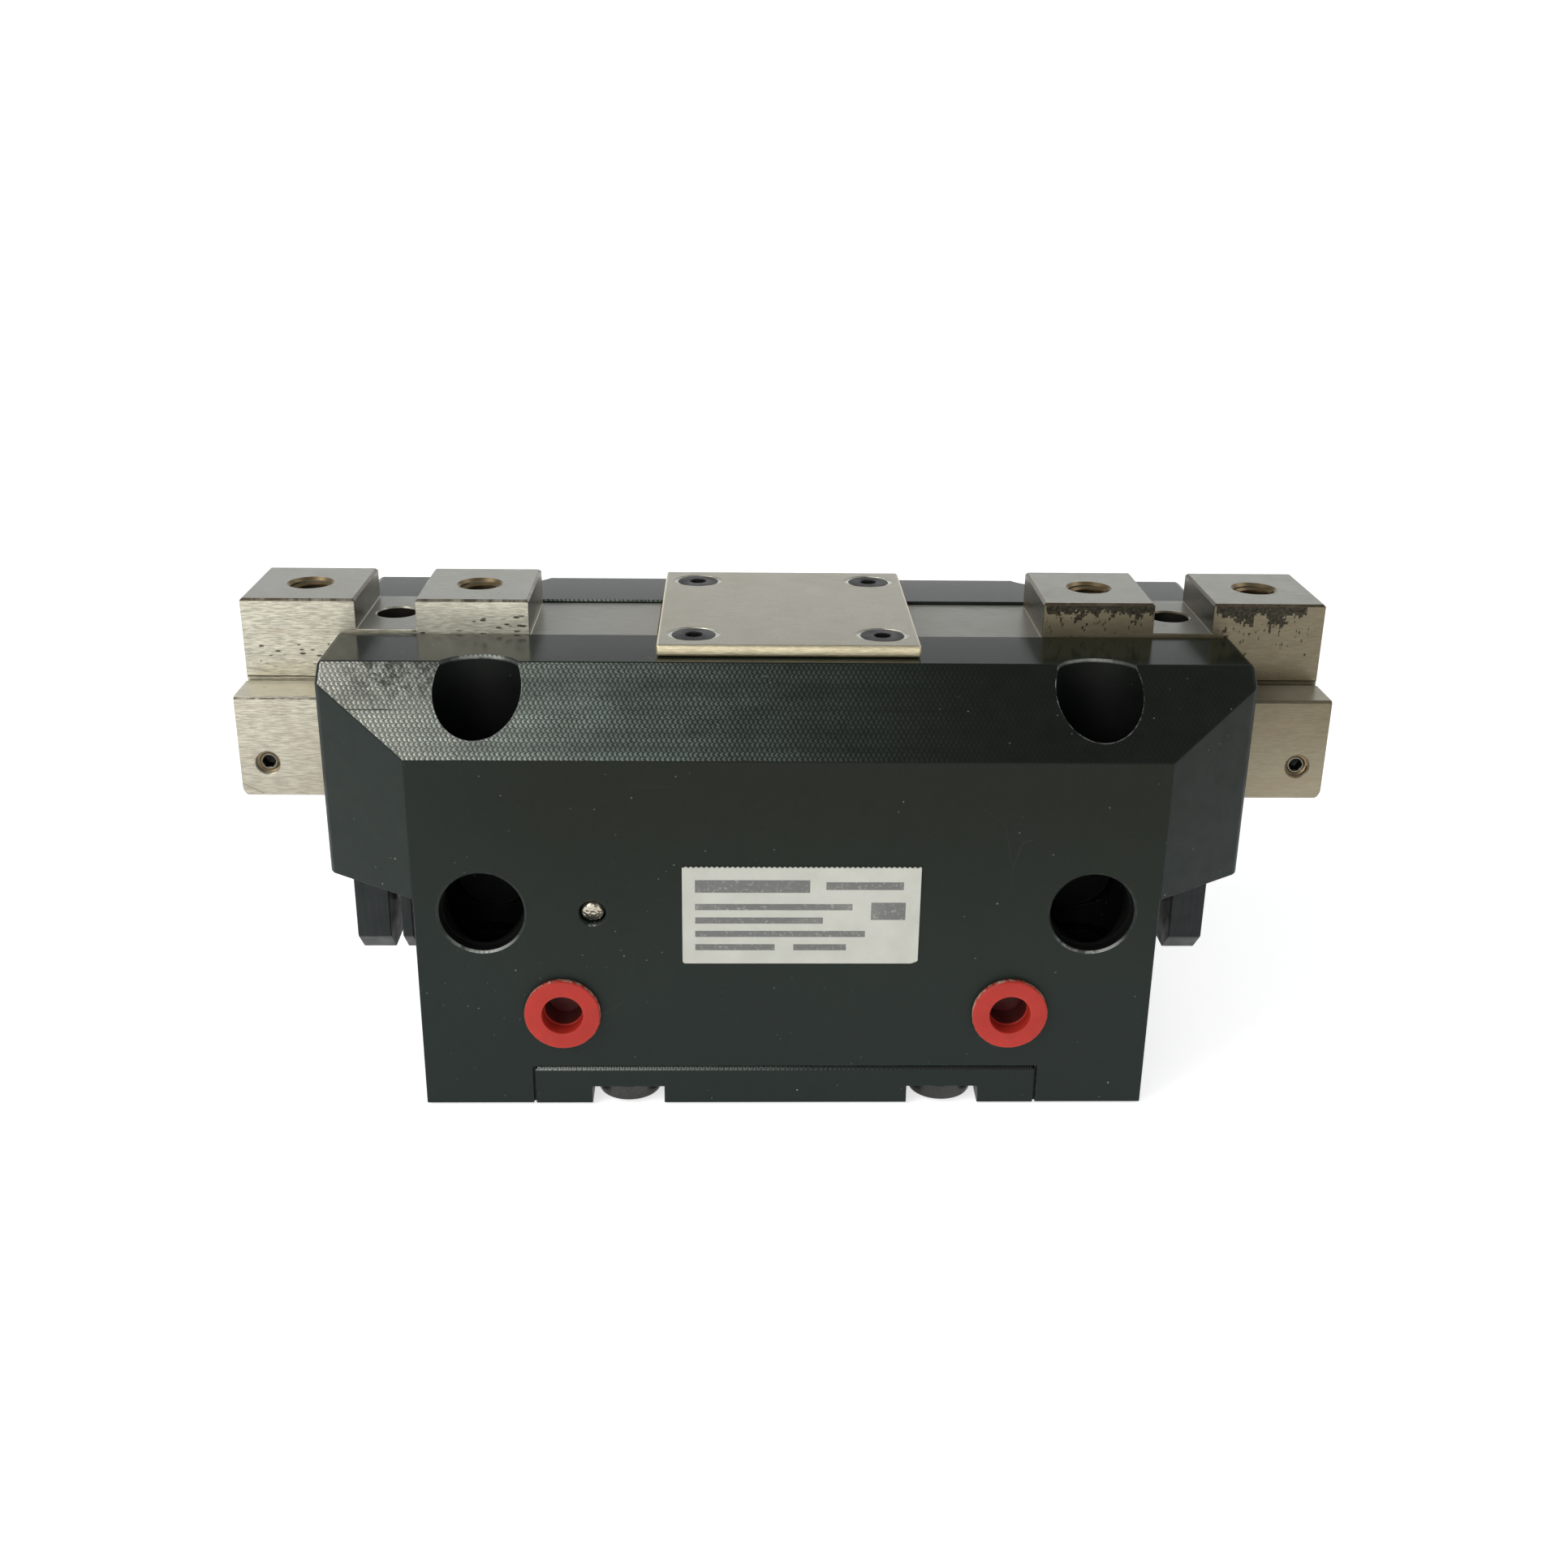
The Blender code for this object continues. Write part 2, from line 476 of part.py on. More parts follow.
    # cylinder head, its seals and its circlip stay with the housing
    H = BORE_R - 0.12
    head_profile = [
        (H, HEAD_X1), (H, 46.2), (12.7, 46.2), (12.7, 43.2), (H, 43.2), (H, HEAD_X0),
        (ROD_R + 0.12, HEAD_X0), (ROD_R + 0.12, 46.4), (8.4, 46.4), (8.4, HEAD_X1), (H, HEAD_X1),
    ]
    turned(f"cylinder_head_{side}", head_profile, (0, 0, BORE_Z), along, ALUMINIUM, seg=24)
    ring(f"head_o_ring_{side}", 13.0, 14.8, 43.5, 45.9, RUBBER)
    ring(f"rod_seal_{side}", ROD_R + 0.15, 8.25, 46.6, 49.6, RUBBER, seg=16)
    clip = ring(f"circlip_{side}", 12.4, 15.5, 50.1, 51.1, STEEL, seg=24)
    cut(clip, box(f"circlip_gap_{side}", X(49.5, 52.0), (-3.5, 3.5), (8, BORE_Z - 5), cutter=True))

# ---------------------------------------------------------------- plugs and label
for s, side in ((-1, "left"), (1, "right")):
    turned(
        f"port_plug_{side}",
        [(0, -6.6), (3.1, -6.6), (3.1, -1.2), (3.9, -1.2), (3.9, 1.5), (7.25, 1.5), (7.25, 0.05), (4.6, 0.05), (4.6, -8.2), (0, -8.2)],
        (s * PORT[0], -HALF_D, PORT[1]), (0, -1, 0), RED, seg=20,
    )
bm = bmesh.new()
bmesh.ops.create_uvsphere(bm, u_segments=12, v_segments=8, radius=2.05 * MM)
bmesh.ops.translate(bm, vec=Vector((BALL[0], -HALF_D + 1.9, BALL[1])) * MM, verts=bm.verts)
from_bmesh("ball_plug", bm, STEEL)
x0, x1, z0, z1 = LABEL
label_points = [(x0, z0), (x1 - 1.3, z0), (x1, z0 + 0.5), (x1, z1), (x0, z1)]
outline("label", label_points, -HALF_D - 0.25, -HALF_D - 0.05, "XZ", WHITE)

# ---------------------------------------------------------------- shading
bpy.context.view_layer.update()
for obj in bpy.data.objects:
    if obj.type == "MESH":
        for p in obj.data.polygons:
            p.use_smooth = True
        obj.data.set_sharp_from_angle(angle=math.radians(35))
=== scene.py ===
"""Looks of the pneumatic gripper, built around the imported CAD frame."""

import json
import math

import bmesh
import bpy
from mathutils import Matrix, Vector, noise

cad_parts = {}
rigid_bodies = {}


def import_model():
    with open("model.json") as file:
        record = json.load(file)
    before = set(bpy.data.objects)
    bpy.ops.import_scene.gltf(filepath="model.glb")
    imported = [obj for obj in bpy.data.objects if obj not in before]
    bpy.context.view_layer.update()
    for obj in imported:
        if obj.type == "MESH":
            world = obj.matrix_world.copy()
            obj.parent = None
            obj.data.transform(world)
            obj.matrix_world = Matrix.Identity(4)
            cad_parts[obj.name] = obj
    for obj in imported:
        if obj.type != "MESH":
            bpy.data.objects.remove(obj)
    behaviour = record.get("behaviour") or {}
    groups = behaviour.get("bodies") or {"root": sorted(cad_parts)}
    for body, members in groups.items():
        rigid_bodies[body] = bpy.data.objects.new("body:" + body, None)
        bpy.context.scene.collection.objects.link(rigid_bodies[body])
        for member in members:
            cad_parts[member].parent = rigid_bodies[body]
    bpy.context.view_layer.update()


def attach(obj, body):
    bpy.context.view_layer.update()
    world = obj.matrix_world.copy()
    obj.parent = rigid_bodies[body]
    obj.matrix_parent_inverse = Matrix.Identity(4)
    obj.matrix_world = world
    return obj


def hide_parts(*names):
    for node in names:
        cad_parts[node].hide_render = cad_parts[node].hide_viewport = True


for old in list(bpy.data.objects):
    bpy.data.objects.remove(old, do_unlink=True)

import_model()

MM = 0.001
scene = bpy.context.scene
scene.view_settings.view_transform = "Standard"
scene.view_settings.look = "None"
scene.view_settings.exposure = 0.0

# ------------------------------------------------------------------ camera
PITCH, YAW, ROLL = (math.radians(a) for a in (21.732, 1.721, -0.82))
fwd = Vector((math.sin(YAW) * math.cos(PITCH), math.cos(YAW) * math.cos(PITCH), -math.sin(PITCH)))
right = Vector((math.cos(YAW), -math.sin(YAW), 0))
down = fwd.cross(right)
r2 = right * math.cos(ROLL) + down * math.sin(ROLL)
d2 = -right * math.sin(ROLL) + down * math.cos(ROLL)
cam_data = bpy.data.cameras.new("camera")
cam_data.lens = 39.457
cam_data.sensor_width = 36.0
cam_data.clip_start, cam_data.clip_end = 0.01, 50
cam = bpy.data.objects.new("camera", cam_data)
scene.collection.objects.link(cam)
rot = Matrix((r2, -d2, -fwd)).transposed()
cam.matrix_world = Matrix.Translation(Vector((-9.900, -336.13, 183.21)) * MM) @ rot.to_4x4()
scene.camera = cam

# ------------------------------------------------------------------ node helpers


class Mat:
    """A Principled material with short names for the nodes it is built from."""

    def __init__(self, name, rough=0.5, metal=0.0, **sockets):
        self.m = bpy.data.materials.new(name)
        self.m.use_nodes = True
        self.t = self.m.node_tree
        self.b = self.t.nodes["Principled BSDF"]
        self.b.inputs["Roughness"].default_value = rough
        self.b.inputs["Metallic"].default_value = metal
        for k, v in sockets.items():
            self.b.inputs[k.replace("_", " ")].default_value = v
        self.co = self.node("ShaderNodeTexCoord").outputs["Object"]
        self.bumped = None

    def node(self, kind, **props):
        n = self.t.nodes.new(kind)
        for k, v in props.items():
            setattr(n, k, v)
        return n

    def put(self, socket, value):
        if isinstance(value, bpy.types.NodeSocket):
            self.t.links.new(value, socket)
        else:
            socket.default_value = value

    def math(self, op, a, b=0.0, c=None, clamp=False):
        n = self.node("ShaderNodeMath", operation=op, use_clamp=clamp)
        self.put(n.inputs[0], a)
        self.put(n.inputs[1], b)
        if c is not None:
            self.put(n.inputs[2], c)
        return n.outputs[0]

    def scaled(self, x, y, z, shift=(0, 0, 0)):
        n = self.node("ShaderNodeMapping")
        self.t.links.new(self.co, n.inputs["Vector"])
        n.inputs["Scale"].default_value = (x, y, z)
        n.inputs["Location"].default_value = shift
        return n.outputs[0]

    def noise(self, scale, detail=3.0, rough=0.55, vector=None, distortion=0.0):
        n = self.node("ShaderNodeTexNoise")
        self.put(n.inputs["Vector"], vector or self.co)
        n.inputs["Scale"].default_value = scale
        n.inputs["Detail"].default_value = detail
        n.inputs["Roughness"].default_value = rough
        n.inputs["Distortion"].default_value = distortion
        return n.outputs["Fac"]

    def voronoi(self, scale, feature="F1", randomness=1.0, vector=None, out="Distance"):
        n = self.node("ShaderNodeTexVoronoi", feature=feature)
        self.put(n.inputs["Vector"], vector or self.co)
        n.inputs["Scale"].default_value = scale
        n.inputs["Randomness"].default_value = randomness
        return n.outputs[out]

    def ramp(self, fac, *stops, smooth=False):
        n = self.node("ShaderNodeValToRGB")
        self.put(n.inputs[0], fac)
        e = n.color_ramp.elements
        while len(e) < len(stops):
            e.new(0.5)
        for el, (pos, col) in zip(e, stops):
            el.position = pos
            el.color = (*col, 1) if isinstance(col, tuple) else (col, col, col, 1)
        if smooth:
            n.color_ramp.interpolation = "EASE"
        return n.outputs[0]

    def mix(self, fac, a, b, mode="MIX"):
        n = self.node("ShaderNodeMix", data_type="RGBA", blend_type=mode)
        self.put(n.inputs[0], fac)
        for s, v in ((n.inputs[6], a), (n.inputs[7], b)):
            self.put(s, (*v, 1) if isinstance(v, tuple) and len(v) == 3 else v)
        return n.outputs[2]

    def mapped(self, v, lo, hi, a, b, smooth=False):
        n = self.node("ShaderNodeMapRange", clamp=True)
        if smooth:
            n.interpolation_type = "SMOOTHSTEP"
        self.put(n.inputs["Value"], v)
        for k, x in (("From Min", lo), ("From Max", hi), ("To Min", a), ("To Max", b)):
            n.inputs[k].default_value = x
        return n.outputs[0]

    def xyz(self):
        n = self.node("ShaderNodeSeparateXYZ")
        self.put(n.inputs[0], self.co)
        return n.outputs

    def normal(self):
        """The surface's own direction in the piece's frame, so that it turns with it."""
        g = self.node("ShaderNodeTexCoord")
        n = self.node("ShaderNodeSeparateXYZ")
        self.put(n.inputs[0], g.outputs["Normal"])
        return n.outputs

    def bump(self, height, strength, distance):
        n = self.node("ShaderNodeBump")
        n.inputs["Strength"].default_value = strength
        n.inputs["Distance"].default_value = distance
        self.put(n.inputs["Height"], height)
        if self.bumped is not None:
            self.put(n.inputs["Normal"], self.bumped)
        self.bumped = n.outputs[0]
        self.put(self.b.inputs["Normal"], self.bumped)

    def edges(self, radius, low=0.0, high=0.25):
        """1 along convex and concave edges within radius, 0 on flat faces."""
        bev = self.node("ShaderNodeBevel", samples=6)
        bev.inputs["Radius"].default_value = radius
        geo = self.node("ShaderNodeNewGeometry")
        d = self.node("ShaderNodeVectorMath", operation="DOT_PRODUCT")
        self.put(d.inputs[0], bev.outputs[0])
        self.put(d.inputs[1], geo.outputs["Normal"])
        return self.mapped(self.math("SUBTRACT", 1.0, d.outputs["Value"]), low, high, 0.0, 1.0)

    def done(self, colour=None, rough=None, metal=None):
        if colour is not None:
            self.put(self.b.inputs["Base Color"], colour)
        if rough is not None:
            self.put(self.b.inputs["Roughness"], rough)
        if metal is not None:
            self.put(self.b.inputs["Metallic"], metal)
        return self.m


def spots(m, centres):
    """Soft blotches of (x, y, z, radius) in mm, with ragged outlines."""
    total = None
    ragged = m.noise(260, 4, 0.65)
    for x, y, z, r in centres:
        n = m.node("ShaderNodeVectorMath", operation="DISTANCE")
        m.put(n.inputs[0], m.co)
        n.inputs[1].default_value = (x * MM, y * MM, z * MM)
        d = m.math("DIVIDE", n.outputs["Value"], r * MM)
        d = m.math("ADD", d, m.math("MULTIPLY", m.math("SUBTRACT", ragged, 0.5), 1.6))
        one = m.mapped(d, 0.75, 1.05, 1.0, 0.0)
        total = one if total is None else m.math("MAXIMUM", total, one)
    return total


# ------------------------------------------------------------------ materials
def make_body():
    m = Mat("hard_anodised_aluminium", 0.45, 0.0, Specular_IOR_Level=0.17, IOR=1.5)
    x, y, z = m.xyz()
    nx, ny, nz = m.normal()
    broad = m.noise(28, 4, 0.6)
    fine = m.noise(2600, 2, 0.5)
    base = m.ramp(broad, (0.25, (0.0092, 0.0150, 0.0125)), (0.55, (0.0112, 0.0180, 0.0142)), (0.8, (0.0135, 0.0195, 0.0145)))
    # a little more olive towards the top of the side faces
    high = m.mapped(z, 0.026, 0.064, 0.0, 0.90)
    base = m.mix(high, base, (0.0062, 0.0092, 0.0036))
    base = m.mix(m.mapped(z, 0.006, 0.034, 0.55, 0.0), base, (0.0078, 0.0150, 0.0142))
    base = m.mix(m.mapped(x, -0.070, -0.045, 0.45, 0.0), base, (0.0105, 0.0185, 0.0170))
    # the angled facets at the ends are cooler; the right-hand facet is painted darker, most towards its top, as shade
    facet = m.mapped(m.math("ABSOLUTE", nx), 0.3, 0.5, 0.0, 0.8)
    base = m.mix(facet, base, m.mix(m.mapped(x, -0.02, 0.02, 0.0, 1.0), (0.0088, 0.0162, 0.0130), m.mix(m.mapped(z, 0.045, 0.075, 0.0, 1.0), (0.0070, 0.0136, 0.0110), (0.0030, 0.0085, 0.0050))))
    base = m.mix(m.math("MULTIPLY", fine, 0.22), base, (0.024, 0.027, 0.024))
    # painted shade: the milled facet is darkened where it is not rubbed, and the insides of the screw holes are
    # darkened
    ax, ay = m.math("ABSOLUTE", x), m.math("ABSOLUTE", y)
    down = m.math("SQRT", m.math("ADD", m.math("POWER", m.math("SUBTRACT", ax, 0.0577), 2.0), m.math("POWER", m.math("SUBTRACT", ay, 0.0344), 2.0)))
    across = m.math("SQRT", m.math("ADD", m.math("POWER", m.math("SUBTRACT", ax, 0.0574), 2.0), m.math("POWER", m.math("SUBTRACT", z, 0.0412), 2.0)))
    pit = m.math("MAXIMUM", m.math("MULTIPLY", m.mapped(down, 0.00818, 0.00824, 1.0, 0.0), m.mapped(z, 0.0795, 0.0825, 1.0, 0.75)), m.math("MULTIPLY", m.mapped(across, 0.00803, 0.00809, 1.0, 0.0), m.mapped(ay, 0.0448, 0.0452, 1.0, 0.0)))
    # milled facet along the top edges: overlapping cutter arcs, rubbed bright at one end
    slope = m.math("MULTIPLY", m.mapped(m.math("ABSOLUTE", ny), 0.60, 0.64, 0, 1), m.mapped(nz, 0.66, 0.70, 0, 1))
    wob = m.math("MULTIPLY", m.math("SUBTRACT", m.noise(300, 4, 0.7), 0.5), 1.1)
    row = m.math("ADD", m.math("MULTIPLY", z, 1.5 / 0.00096), wob)
    rowi = m.math("FLOOR", row)
    step = m.math("MULTIPLY", rowi, 0.47)
    b = m.math("SUBTRACT", m.math("FRACT", row), 0.5)
    bow = m.math("MULTIPLY", m.math("MULTIPLY", b, b), 1.5)
    arc = m.math("FRACT", m.math("SUBTRACT", m.math("ADD", m.math("ADD", m.math("MULTIPLY", x, 1 / 0.00092), step), wob), bow))
    shape = m.mapped(arc, 0.0, 0.45, 0.0, 1.0, True)
    shape = m.math("MULTIPLY", shape, m.mapped(arc, 0.50, 0.85, 1.0, 0.0, True))
    shape = m.math("MULTIPLY", shape, m.mapped(m.math("ABSOLUTE", b), 0.34, 0.50, 1.0, 0.25))
    plain = m.math("MULTIPLY", m.mapped(x, -0.010, 0.040, 1.0, 0.22), m.mapped(m.noise(1.0, 3, 0.6, vector=m.scaled(9, 520, 520)), 0.38, 0.60, 0.70, 1.12))
    shape = m.math("MULTIPLY", shape, plain)
    patch = m.noise(75, 5, 0.65, vector=m.scaled(0.5, 1, 1))
    cusp = m.math("MULTIPLY", m.math("MULTIPLY", shape, slope), m.mapped(patch, 0.25, 0.50, 0.35, 1.0))
    near = m.mapped(x, -0.088, 0.060, 1.0, 0.0)
    near = m.math("POWER", near, 2.6)
    worn = m.math("MULTIPLY", m.math("ADD", m.math("MULTIPLY", near, 1.38), 0.030), m.mapped(patch, 0.30, 0.60, 0.45, 1.1))
    worn = m.math("MULTIPLY", m.math("MULTIPLY", worn, slope), m.math("ADD", m.math("MULTIPLY", shape, 1.0), m.math("ADD", 0.13, m.math("MULTIPLY", near, 0.22))), clamp=True)
    # a blotchy rubbed patch and a scored line near the bright end
    blot = m.math("MULTIPLY", m.mapped(m.noise(520, 4, 0.7, distortion=0.6), 0.45, 0.55, 0.0, 1.0), m.mapped(m.math("ABSOLUTE", m.math("ADD", x, 0.071)), 0.006, 0.013, 1.0, 0.0))
    blot = m.math("MULTIPLY", blot, m.mapped(z, 0.0785, 0.0825, 0.0, 1.0))
    line = m.mapped(m.math("ABSOLUTE", m.math("SUBTRACT", z, 0.0786)), 0.00006, 0.00012, 1.0, 0.0)
    line = m.math("MULTIPLY", m.math("MULTIPLY", line, m.mapped(x, -0.0740, -0.0700, 0.8, 0.0)), m.mapped(ny, -0.1, 0.0, 1.0, 0.0))
    # rubbed and chipped edges
    chips = m.mapped(m.noise(420, 4, 0.7), 0.48, 0.64, 0.0, 1.0)
    edge = m.math("MULTIPLY", m.edges(0.0004), m.math("ADD", 0.18, m.math("MULTIPLY", chips, 0.82)))
    # light specks of dust
    dust = m.mapped(m.voronoi(230), 0.0, 0.050, 1.0, 0.0)
    some = m.mapped(m.noise(85, 2), 0.51, 0.58, 0.0, 1.0)
    dust = m.math("MULTIPLY", m.math("MULTIPLY", dust, some), 0.75)
    tiny = m.mapped(m.voronoi(470, vector=m.scaled(1, 1, 1, (0.013, 0.007, 0.021))), 0.0, 0.080, 1.0, 0.0)
    tiny = m.math("MULTIPLY", tiny, m.mapped(m.noise(140, 3), 0.52, 0.62, 0.0, 1.0))
    tiny = m.math("MULTIPLY", tiny, m.mapped(nz, 0.3, 0.6, 0.42, 0.80))
    dust = m.math("MAXIMUM", dust, tiny)
    # faint handling scratches
    s1 = m.voronoi(55, "DISTANCE_TO_EDGE", vector=m.scaled(1, 0.12, 0.3, (0.01, 0, 0.02)))
    s1 = m.math("MULTIPLY", m.mapped(s1, 0.0, 0.006, 1.0, 0.0), m.mapped(m.noise(40, 2), 0.60, 0.72, 0.0, 0.10))
    # painted shade on the milled facet and inside the screw holes
    base = m.mix(m.math("MULTIPLY", slope, 0.75), base, (0.0040, 0.0050, 0.0040))
    base = m.mix(pit, base, (0.0030, 0.0034, 0.0032))
    worn = m.math("MULTIPLY", worn, m.math("SUBTRACT", 1.0, pit))
    col = m.mix(worn, base, m.mix(near, (0.40, 0.52, 0.46), (0.54, 0.535, 0.475)))
    col = m.mix(m.math("MULTIPLY", m.math("MULTIPLY", blot, slope), near), col, (0.035, 0.036, 0.030))
    col = m.mix(m.math("MULTIPLY", line, slope), col, (0.030, 0.030, 0.028))
    col = m.mix(m.math("MULTIPLY", edge, 0.34), col, (0.15, 0.16, 0.15))
    # bare chamfers with painted highlights: the lower rims of the side bores, brightest at the bottom, and the rims of
    # the screw holes on the rails
    lip = m.math("MULTIPLY", m.mapped(m.math("ABSOLUTE", m.math("SUBTRACT", across, 0.0082)), 0.00018, 0.00026, 1.0, 0.0), m.mapped(ay, 0.0451, 0.0453, 0.0, 1.0))
    lip = m.math("MULTIPLY", lip, m.mapped(m.math("SUBTRACT", 0.0412, z), 0.0045, 0.0080, 0.07, 1.0))
    lip = m.math("MULTIPLY", lip, m.mapped(m.noise(230, 3, 0.7), 0.42, 0.55, 0.18, 1.0))
    top_lip = m.math("MULTIPLY", m.mapped(m.math("ABSOLUTE", m.math("SUBTRACT", down, 0.0083)), 0.00015, 0.00024, 1.0, 0.0), m.mapped(z, 0.0847, 0.0850, 0.0, 1.0))
    top_lip = m.math("MULTIPLY", top_lip, m.mapped(nz, 0.90, 0.97, 1.0, 0.0))
    top_lip = m.math("MULTIPLY", top_lip, m.mapped(m.noise(330, 3, 0.7), 0.34, 0.56, 0.30, 1.0))
    top_lip = m.math("MULTIPLY", top_lip, m.mapped(m.math("ABSOLUTE", m.math("SUBTRACT", ax, 0.0570)), 0.0015, 0.0065, 1.0, 0.18))
    ring = m.math("MULTIPLY", m.mapped(m.math("ABSOLUTE", m.math("SUBTRACT", down, 0.00820)), 0.00006, 0.00014, 1.0, 0.0), slope)
    ring = m.math("MULTIPLY", ring, m.mapped(m.noise(520, 4, 0.75), 0.44, 0.58, 0.0, 0.75))
    ring = m.math("MULTIPLY", ring, m.mapped(z, 0.0735, 0.0765, 0.25, 1.0))
    top_lip = m.math("MAXIMUM", top_lip, ring)
    # painted highlights on the bare chamfers of the bore rims
    col = m.mix(m.math("MULTIPLY", m.math("MAXIMUM", lip, m.math("MULTIPLY", top_lip, 0.85)), 0.9), col, (0.36, 0.37, 0.345))
    # fine upright tool marks along the base plate's top chamfer, fading to one side
    ribs = m.math("MULTIPLY", m.mapped(m.math("SINE", m.math("MULTIPLY", x, 2 * math.pi / 0.00052)), -0.3, 0.5, 0.15, 1.0), m.mapped(nz, 0.25, 0.45, 0.0, 1.0))
    ribs = m.math("MULTIPLY", m.math("MULTIPLY", ribs, m.mapped(nz, 0.85, 0.95, 1.0, 0.0)), m.math("MULTIPLY", m.mapped(z, 0.0070, 0.0072, 0.0, 1.0), m.mapped(z, 0.0079, 0.0081, 1.0, 0.0)))
    ribs = m.math("MULTIPLY", ribs, m.mapped(m.math("ADD", x, m.math("MULTIPLY", m.noise(60, 2), 0.012)), -0.045, 0.012, 0.95, 0.06))
    col = m.mix(ribs, col, (0.36, 0.37, 0.35))
    col = m.mix(s1, col, (0.08, 0.085, 0.08))
    col = m.mix(dust, col, (0.50, 0.50, 0.46))
    flat = m.mapped(nz, 0.90, 0.97, 0.0, 1.0)
    rough = m.mapped(m.noise(300, 4, 0.6), 0.3, 0.7, 0.36, 0.50)
    rough = m.math("ADD", m.math("MULTIPLY", rough, m.math("SUBTRACT", 1.0, flat)), m.math("MULTIPLY", flat, m.mapped(m.noise(30, 2), 0.3, 0.7, 0.15, 0.19)))
    rough = m.math("ADD", rough, m.math("MULTIPLY", pit, 0.15))
    metal = m.math("MULTIPLY", m.math("MAXIMUM", worn, m.math("MULTIPLY", edge, 0.4)), 0.85)
    m.bump(m.math("MULTIPLY", fine, m.math("SUBTRACT", 1.0, flat)), 0.10, 0.00010)
    m.bump(cusp, 0.45, 0.00010)
    return m.done(col, rough, metal)


